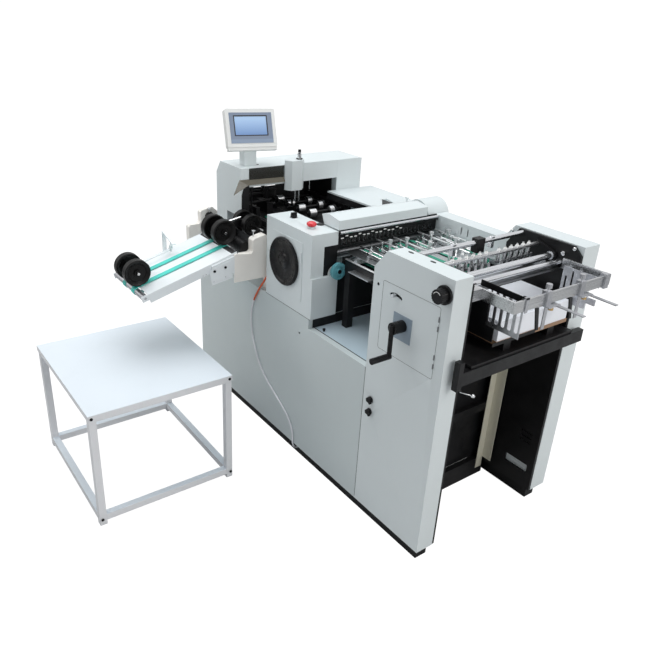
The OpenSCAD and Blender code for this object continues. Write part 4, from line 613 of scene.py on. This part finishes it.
second_finish(frame_rails, black_coat, lambda x, y, z, nx, ny, nz:
              ((ny > 0.9) & (y > 150) & (y < 170)) | ((nx < -0.9) & (x > 100)))
slot_top, slot_low, slot_half = 1160, 1042, 8
slot_end = [(a, slot_low + slot_half * math.sin(a)) for a in np.linspace(0, -np.pi, 9)]
slot_line = [(x + slot_half * math.cos(a), z) for x in (112, 84, 56, 28, 0)
             for a, z in [(0, slot_top), *slot_end, (-np.pi, slot_top)]]
comb_line = [(-14, 1016), (127, 1016), (127, slot_top), *slot_line, (-14, slot_top)]
piece("near_guide_plate", [plate(comb_line, "y", 207, 210), block(115, 124.6, 203, 217, 1119, 1173),
                           block(133.4, 137, 203, 217, 1119, 1173), block(115, 137, 203, 217, 1167.4, 1173)],
      zinc, "near_guide", ["guide_plate_near"], smooth=False)
piece("near_guide_band", [block(-64, 126, 206.8, 210.2, 1150, 1172)], black_coat, "near_guide",
      smooth=False)
side_line = [(-216, 962), (24, 962), (24, 1015), (-15, 1015), (-15, 1122), (-70, 1122), (-70, 1112),
             (-216, 1112)]
piece("near_side_plate", [plate(side_line, "y", 206, 208.6)], black_coat, "near_guide",
      smooth=False)
piece("near_side_tab", [block(-37, 8, 199, 203, 1110, 1115), block(-37, 8, 203, 206, 1112, 1115)], cast_coat,
      "near_guide", round_off=0.5)
dressed("guide_plate_far", zinc, 0.4)
for node in ("tail_guide_near", "tail_guide_far"):
    guide = dressed(node, zinc, 0.4)
    second_finish(guide, brass, lambda x, y, z, nx, ny, nz: (x > 137.5) & (x < 156.5) & (z > 1108)
                  & (z < 1119.1))
    second_finish(guide, black_coat, lambda x, y, z, nx, ny, nz: (x > 110.5) & (x < 116.5) & (z < 1116))

# ---- Register table: bright slats with green tapes between them, and over them the rods, clamps and
# posts that keep the sheet down, all on black steel work. A teal handwheel shifts the register.
slat_steel = steel("slat_steel", (0.66, 0.68, 0.7), 0.27, (3.0, 260.0, 260.0))
satin_alu = steel("satin_aluminium", (0.93, 0.94, 0.95), 0.34, (90.0, 90.0, 90.0))
blue_grey_pale = powder_coat("blue_grey_pale", (0.52, 0.63, 0.7))
green_cloth = moulded("green_tape", (0.03, 0.3, 0.2), 0.6)
teal_skin = moulded("teal_plastic", (0.17, 0.5, 0.57), 0.2, coat=0.4)
table = dressed("register_deck", slat_steel)
second_finish(table, black_coat, lambda x, y, z, nx, ny, nz: ((abs(y - 153) < 4) & (z < 1037)) | (z < 1000))
second_finish(table, dark_steel, lambda x, y, z, nx, ny, nz: (nz > 0.9) & (z > 1050) & (y > 200) & (y < 270))
step_top = 722
piece("step_sheet", [block(-793, -399, 33, 716, step_top + 0.1, 723)], blue_grey_pale, "machine",
      smooth=False)
# The dark groove along the step's edge is painted shade in the groove.
piece("step_groove", [block(-797, -399, 29, 33, 722.1, 722.9), block(-700, -640, 640, 700, 722.9, 726)],
      trim_and_shade_coat, "machine", smooth=False)
knob_line = [(4, 0), (4, 7), (6.5, 8), (6.5, 14), (0.1, 14.5)]
piece("step_knob", [turned(knob_line, (-742, 45, step_top), "z", 16)], black_skin, "machine")
piece("near_rail_edge", [block(-755, -468, 147, 157, 1036.2, 1039.5)], satin_alu, "machine",
      round_off=0.5)
# Each rod over the slats has two clamps with a pin in each, and beside it lies a dark strip on the table, its
# painted shadow.
rng = np.random.default_rng(7)
clutter, shadows = [], []
for y in (205, 232, 300, 352, 410, 515, 560, 615, 660, 700):
    x = -760 + rng.uniform(0, 30)
    long = rng.uniform(110, 300)
    z = 1062 + rng.uniform(0, 22)
    clutter.append(bar((x, y, z), (min(x + long, -425), y, z), rng.uniform(5, 9), 14))
    for step in (0.25, 0.7):
        u = x + long * step
        clutter += [block(u, u + 16, y - 9, y + 9, 1056.5, z + 6),
                    bar((u + 8, y, z + 4), (u + 8, y, z + rng.uniform(16, 34)), 6, 12)]
    shadows.append(block(x + 6, x + long * 0.6, y + 9, y + 15, 1056.2, 1057.2))
piece("register_rods", clutter, chrome, "machine", round_off=0.5)
piece("register_painted_shadows", shadows, trim_and_shade_coat, "machine", smooth=False)
dressed("carrier_tapes", green_cloth)
dressed("hold_down_rods", satin_alu, 0.4)
dressed("register_handwheel", teal_skin, 1.0)
piece("register_hub", [bar((-766.2, 131, 978), (-763.8, 131, 978), 19, 28)], black_skin, "register_wheel",
      smooth=False)
piece("register_ring", [turned([(24, 0), (37, 0), (37, 3), (24, 3)], (-797.8, 127, 964), "x", 40)],
      cast_coat, "machine")

# ---- Fold head: the dished black handwheel, the selector and the red stop button on the white housing.
# Under its cover a black comb stands along a bright rod, with two steel fold rollers behind it.
red_skin = moulded("red_plastic", (0.72, 0.012, 0.025), 0.24, coat=0.4)
head_top = 1150
dressed("handwheel", black_skin)
piece("cover_marks", [bar((x - 9, y, 1186), (x + 9, y, 1186), 2.6, 10)
                      for x, y in ((-892, 229), (-884, 620))]
      + [bar((x, y, head_top - 1), (x, y, head_top + 8), 3, 10) for x, y in ((-910, 165), (-843, 152))],
      dark_steel, "machine")
# The dark triangle on the head's deck is painted shade in a recess.
piece("deck_recess", [plate([(-1131.0, 668.0), (-1055.0, 670.0), (-1043.0, 592.0)], "z", 1150.2, 1150.9)],
      trim_and_shade_coat, "machine", smooth=False)
# The dark strip under the head box is painted shade in the gap above the cabinet.
piece("head_foot_line", [block(-1154, -787, -0.5, 0.3, 767, 768.8)], trim_and_shade_coat, "machine",
      smooth=False)
dressed("selector_knob", black_skin, 0.6)
ring_line = [(19, 0.1), (19, 2), (16.5, 3), (16.4, 0.1)]
piece("selector_ring", [turned(ring_line, (-1055, 79, head_top), "z", 32)], chrome, "machine")
dressed("stop_button", red_skin, 0.5)
stud_places = [(-890 + u, 60 + v) for u, v in ((-14, -12), (12, -16), (16, 8), (-10, 16))]
piece("head_studs", [bar((x, y, head_top), (x, y, head_top + 5), 4, 12) for x, y in stud_places], chrome,
      "machine")
piece("head_cap", [turned([(17, 0.2), (17, 3), (12, 5), (0.1, 5)], (-915, 124, head_top), "z", 28)],
      black_skin, "machine")
dressed("bridge_comb", black_coat)
piece("comb_rod", [bar((-790, 140, 1144), (-790, 725, 1144), 13.4, 24)], chrome_rod, "machine")
tips = [(142 + 24 * k, 1119 + 8 * (k % 3 == 1)) for k in range(15)]
piece("comb_tips", [block(-786, -783.4, y, y + 14, z, z + 5) for y, z in tips], cast_coat, "machine",
      round_off=0.6)
for node in ("fold_roller_upper", "fold_roller_lower"):
    dressed(node, dark_steel)

# ---- Gantry: the knife's white housing with its black and chrome screw, a smoked window with a bent flap
# over the opening, and behind it the black transport deck with rings of bright steel on four shafts
rubber = moulded("rubber", (0.018, 0.018, 0.02), 0.45)
smoked_window = shade("smoked_guard", (0.035, 0.034, 0.03), 0.14, alpha=0.93)
smoked_flap = shade("smoked_flap", (0.16, 0.145, 0.11), 0.16, alpha=0.75)
dressed("knife_housing", white_coat, 2.0)
blade_line = [(-1590, 1096), (-1387, 1096), (-1387, 1160), (-1403, 1160), (-1403, 1103), (-1590, 1103)]
piece("knife", [block(-1411, -1379, 281, 313, 1155, 1289), plate(blade_line, "y", 295.5, 298.5)], black_coat,
      "knife", ["knife_blade"], round_off=0.3)
piece("knife_guides", [bar((-1362, y, 1128), (-1362, y, 1187), 9, 24) for y in (292, 314)], chrome,
      "machine")
screw = dressed("knife_screw", black_skin, 0.3)
second_finish(screw, chrome, lambda x, y, z, nx, ny, nz:
              ((z > 1334.5) & (z < 1357.2)) | ((z > 1361.2) & (z < 1365.2)))
piece("guard_window", [block(-1390.8, -1387.8, 44, 239.5, 1248, 1305)], smoked_window, "machine",
      ["guard_shield"])
flap = [(-1390.5, -9, 1255), (-1390.5, 239.5, 1252), (-1376, 239.5, 1229), (-1376, 30, 1231),
        (-1384, -43, 1189)]
flap_low = [(x + 2, y, z - 1.5) for x, y, z in flap]
flap_faces = [(0, 1, 2, 3), (0, 3, 4), (5, 8, 7, 6), (5, 9, 8), (0, 5, 6, 1), (1, 6, 7, 2), (2, 7, 8, 3),
              (3, 8, 9, 4), (4, 9, 5, 0)]
piece("guard_flap", [(np.array(flap + flap_low), flap_faces)], smoked_flap, "machine",
      smooth=False)
piece("screen_gland", [turned([(6, 0.1), (6, 2), (0.1, 2)], (-1445, 123, 1307), "z", 20)], black_skin,
      "machine")
dressed("transport_deck", black_coat, 0.6)
lining_line = [(4, 1052), (44.5, 1052), (44.5, 1226), (17, 1226), (4, 1180)]
piece("leg_lining", [plate(lining_line, "x", -1390.8, -1388.8)], black_coat, "machine",
      smooth=False)
piece("deck_skirt", [block(-1630, -1202, 50, 54, 880, 1047), block(-1628, -1624, 62, 340, 1052, 1146)],
      black_coat, "machine", smooth=False)
on_deck = 1050.3
piece("deck_fittings", [block(-1600, -1250, 60, 66, on_deck, 1078),
                        block(-1560, -1446, 120, 140, on_deck, 1092),
                        block(-1575, -1470, 196, 232, on_deck, 1104),
                        bar((-1600, 84, 1118), (-1600, 250, 1118), 16, 16),
                        block(-1330, -1205, 70, 96, on_deck, 1062),
                        bar((-1500, 70, 1104), (-1500, 240, 1112), 12, 14)],
      black_coat, "machine", round_off=0.8)
piece("deck_lines", [block(-1430, -1204, y, y + 1.6, 1050.2, 1051.6) for y in (128, 176, 226)], zinc,
      "machine", smooth=False)
piece("deck_belt", [block(-1420, -1204, 150, 164, 1050.2, 1053)], green_cloth, "machine",
      smooth=False)
for node in ("cross_roller_near", "cross_roller_far"):
    dressed(node, rubber, 0.5)
first_shaft, shaft_pitch, shaft_height = -1592, 100, 1080
for k in range(4):
    shaft = dressed("wheel_shaft_%d" % (k + 1), satin_alu, 0.5)
    shaft_x = first_shaft + shaft_pitch * k
    second_finish(shaft, black_coat, lambda x, y, z, nx, ny, nz:
                  (np.hypot(x - shaft_x, z - shaft_height) < 16) | ((y > 481) & (y < 491)))

# ---- Operating screen: a light-grey moulded housing that swivels on a short column on the gantry. Its
# face is a slate bezel with a paler strip, a dark inner frame and a blue display sunk behind it.
screen_middle, screen_swivel, screen_tilt = (-1439, 84, 1483), -12.2, -20.1
dressed("screen_unit", cast_coat, 1.5)


def on_screen(parts):
    """Turns parts from the screen's own axes (x out of the glass, y across, z up) into the machine's."""
    a, b = math.radians(screen_swivel), math.radians(screen_tilt)
    tilt = np.array([[math.cos(b), 0, math.sin(b)], [0, 1, 0], [-math.sin(b), 0, math.cos(b)]])
    swing = np.array([[math.cos(a), -math.sin(a), 0], [math.sin(a), math.cos(a), 0], [0, 0, 1]])
    return [(np.asarray(p, float) @ (swing @ tilt).T + screen_middle, f) for p, f in parts]


piece("screen_column", [block(-1485, -1447, 59, 99, 1376, 1424)], cast_coat, "screen",
      round_off=2.0)
piece("screen_lip", on_screen([block(-34, -3, -120, 120, -103, -86)]), cast_coat, "screen",
      round_off=2.0)
slate = powder_coat("slate_bezel", (0.2, 0.25, 0.35))
pale_slate = powder_coat("pale_slate", (0.24, 0.31, 0.43))
bezel_side, bezel_top, bezel_low, strip_low = 104, 70, -52, -70
inner_left, inner_right, inner_low, inner_top = -84.4, 81.6, -37.4, 57.5
glass_left, glass_right, glass_low, glass_top = -79, 76.4, -32.4, 52.4
ring = [block(0.1, 1.4, -bezel_side, bezel_side, inner_top, bezel_top),
        block(0.1, 1.4, -bezel_side, bezel_side, bezel_low, inner_low),
        block(0.1, 1.4, -bezel_side, inner_left, inner_low, inner_top),
        block(0.1, 1.4, inner_right, bezel_side, inner_low, inner_top)]
piece("screen_bezel", on_screen(ring), slate, "screen", smooth=False)
piece("screen_strip", on_screen([block(0.1, 1.5, -bezel_side, bezel_side, strip_low, bezel_low)]),
      pale_slate, "screen", smooth=False)
inner = [block(-1.9, 1.0, inner_left, glass_left, inner_low, inner_top),
         block(-1.9, 1.0, glass_right, inner_right, inner_low, inner_top),
         block(-1.9, 1.0, glass_left, glass_right, inner_low, glass_low),
         block(-1.9, 1.0, glass_left, glass_right, glass_top, inner_top)]
piece("screen_inner_frame", on_screen(inner), trim_and_shade_coat, "screen", smooth=False)
display = shade("display", (0.3, 0.45, 0.7), 0.12)
tree = display.node_tree
shader = tree.nodes["Principled BSDF"]
height = tree.nodes.new("ShaderNodeSeparateXYZ")
tree.links.new(tree.nodes.new("ShaderNodeTexCoord").outputs["Object"], height.inputs[0])
sky = blended(tree, span(tree, height.outputs["Z"], 1.455, 1.535, 0.0, 1.0), (0.16, 0.27, 0.5),
              (0.42, 0.58, 0.8))
tree.links.new(sky, shader.inputs["Base Color"])
tree.links.new(sky, shader.inputs["Emission Color"])
shader.inputs["Emission Strength"].default_value = 0.25
piece("screen_display", on_screen([block(-1.9, -0.6, glass_left, glass_right, glass_low, glass_top)]),
      display, "screen", smooth=False)

# ---- Delivery: two cast brackets bolted to the cabinet, joined by tie rods, with a ribbed black drum and
# a pair of black wheels between them. A sloped plate of white sheet carries two turquoise belts round
# their end rollers, and two more pairs of black wheels run on the belts.
# The brackets' and the conveyor plate's coats are lighter than the white covers: painted light for the
# stronger light that falls on them.
bracket_coat_painted_light = powder_coat("bracket_coat_painted_light", (0.98, 0.94, 0.88))
conveyor_coat_painted_light = powder_coat("conveyor_coat_painted_light", (0.86, 0.9, 0.92))
wheel_skin = moulded("wheel_skin", (0.004, 0.004, 0.004), 0.36, specular=0.22)
turquoise = moulded("turquoise_belt", (0.07, 0.68, 0.58), 0.42)
foot = [(-130, 838), (-130, 958), (-121, 968), (-72, 968), (-63, 978), (-63, 1028), (-54, 1037), (4, 1050),
        (12, 1044), (60, 1000), (60, 753), (22, 753), (22, 838)]
face = [(-160, 840), (-160, 974), (-150, 980), *foot[3:9], (12, 1040), (12, 838)]
front_face, rear_face = -1215.2, -1699.8            # x of the brackets' inner faces
piece("brackets", [plate(foot, "x", -1215, -1180), plate(foot, "x", -1735, -1700),
                   plate(face, "x", -1179.8, -1171.5)], bracket_coat_painted_light, "machine",
      ["delivery_brackets"], round_off=2.0)
piece("tie_rods", [bar((rear_face, y, z), (front_face, y, z), 14, 24)
                   for y, z in ((-60, 930), (-100, 880))], chrome, "machine")
rear_block = [(-53, 942), (-39, 959), (-38, 1008), (-30, 1020), (-18, 1026), (0, 1022), (8, 999), (8, 940)]
arm_line = [(-144, 1044), (-144, 1056), (-60, 1084), (0, 1084), (20, 1062), (0, 1054)]
drum_y, drum_z, drum_d = -77, 985, 58
ribs = [bar((x, drum_y, drum_z), (x + 4, drum_y, drum_z), drum_d + 3, 48) for x in range(-1410, -1220, 14)]
piece("feed_fittings", [plate(rear_block, "x", rear_face, -1686), plate(arm_line, "x", -1343, -1327),
                        bar((-1420, drum_y, drum_z), (front_face, drum_y, drum_z), drum_d, 48), *ribs],
      black_coat, "machine", round_off=0.8)
axle_y, axle_z = -2, 1066
rim = [(4, 2), (12, 2), (14, 8), (34, 8), (39, 2), (47, 0), (50, 2), (50, 28), (47, 30), (39, 28), (34, 22),
       (14, 22), (12, 28), (4, 28)]
piece("feed_wheels", [turned(rim, (x, axle_y, axle_z), "x", 64) for x in (-1386, -1302)], wheel_skin,
      "machine", round_off=0.4)
knob_line = [(0.1, 0), (9, 0), (10, 3), (9, 6), (0.1, 7)]
piece("feed_rods", [bar((-1386, axle_y, axle_z), (-1186, axle_y, axle_z), 7.6, 20),
                    bar((-1335, -104, 1082), (-1335, -34, 1094), 10, 20),
                    bar((-1198, -46, 1040), (-1198, -46, 1066), 6, 16),
                    turned(knob_line, (-1198, -46, 1066), "z", 20),
                    bar((-1693, -16, 1024), (-1693, -16, 1042), 6, 16),
                    turned(knob_line, (-1693, -16, 1042), "z", 20)],
      chrome, "machine", round_off=0.4)
plates = dressed("conveyor_plate", conveyor_coat_painted_light, 0.8)
second_finish(plates, black_skin, lambda x, y, z, nx, ny, nz: (x > -1170) & (y < -190))
piece("strap", [plate([(-285, 920), (-275, 850), (-171, 868), (-171, 958)], "x", -1171.9, -1170.2)],
      conveyor_coat_painted_light, "machine", smooth=False)
screw_places = ((-319, 905), (-304, 909), (-207, 880), (-266, 867))
piece("strap_screws", [bar((-1170.4, y, z), (-1169, y, z), 4.5, 12) for y, z in screw_places], zinc,
      "machine", smooth=False)
slope = math.radians(16)
belt_middles = (-1286, -1384)


def down_slope(x, s, n):
    """A point s millimetres down the delivery's slope and n above it, on the machine's axes."""
    y = -166 - s * math.cos(slope) - n * math.sin(slope)
    z = 980 - s * math.sin(slope) + n * math.cos(slope)
    return np.stack(np.broadcast_arrays(x, y, z), -1)


def belt(x, width):
    """A flat belt round both end rollers: a rounded loop, four corners to each of its steps."""
    half = np.linspace(-np.pi / 2, np.pi / 2, 17)
    outer, inner = [np.r_[np.c_[440 + r * np.cos(half), -12 + r * np.sin(half)],
                          np.c_[-16 - r * np.cos(half), -12 - r * np.sin(half)]].T for r in (17.6, 15.1)]
    low, high = x - width / 2, x + width / 2
    corners = [down_slope(low, *outer), down_slope(high, *outer), down_slope(high, *inner),
               down_slope(low, *inner)]
    return np.stack(corners, 1).reshape(-1, 3), grid_faces(34, 4, wrap_rows=True).tolist()


piece("belts", [belt(x, 29) for x in belt_middles], turquoise, "machine",
      ["conveyor_belts"])
dressed("delivery_roller", rubber, 0.5)
dressed("end_roller", zinc, 0.4)
tread = [(5, 4), (14, 4), (16, 12), (39, 12), (45, 3), (55, 0), (59, 3), (59, 32), (55, 35), (45, 32),
         (39, 23), (16, 23), (14, 31), (5, 31)]
for node, name, down, shaft_start in (("nip_wheels_inner", "inner_wheels", -33, -1404),
                                      ("nip_wheels_outer", "outer_wheels", 409, -1442)):
    _, y, z = down_slope(0, down, 64.8)
    shaft_end = -1262
    piece(name, [turned(tread, (x - 17.5, y, z), "x", 96) for x in belt_middles]
          + [bar((shaft_start, y, z), (shaft_end, y, z), 12, 32)], wheel_skin, body_of[node],
          [node], round_off=0.3)
    piece(name + "_cap", [bar((shaft_end - 1, y, z), (shaft_end + 1.4, y, z), 12.4, 20)], chrome,
          body_of[node], round_off=0.6)

# ---- Receiving table: a free-standing frame of welded square tube under a flat sheet top, all in pale
# paint, with two black bolt heads in each of the two legs on its feeder side
table_coat = powder_coat("table_coat", (0.8, 0.86, 0.92))
leg_coat = powder_coat("leg_coat", (0.83, 0.83, 0.85))
stand = dressed("delivery_table", table_coat, 1.0)
second_finish(stand, leg_coat, lambda x, y, z, nx, ny, nz: abs(nz) < 0.5)
bolt_places = [(y, z) for y in (-948.0, -346.0) for z in (30, 527.0)]
piece("table_bolts", [bar((-886.5, y, z), (-884.4, y, z), 13, 20) for y, z in bolt_places], black_skin,
      "machine", smooth=False)
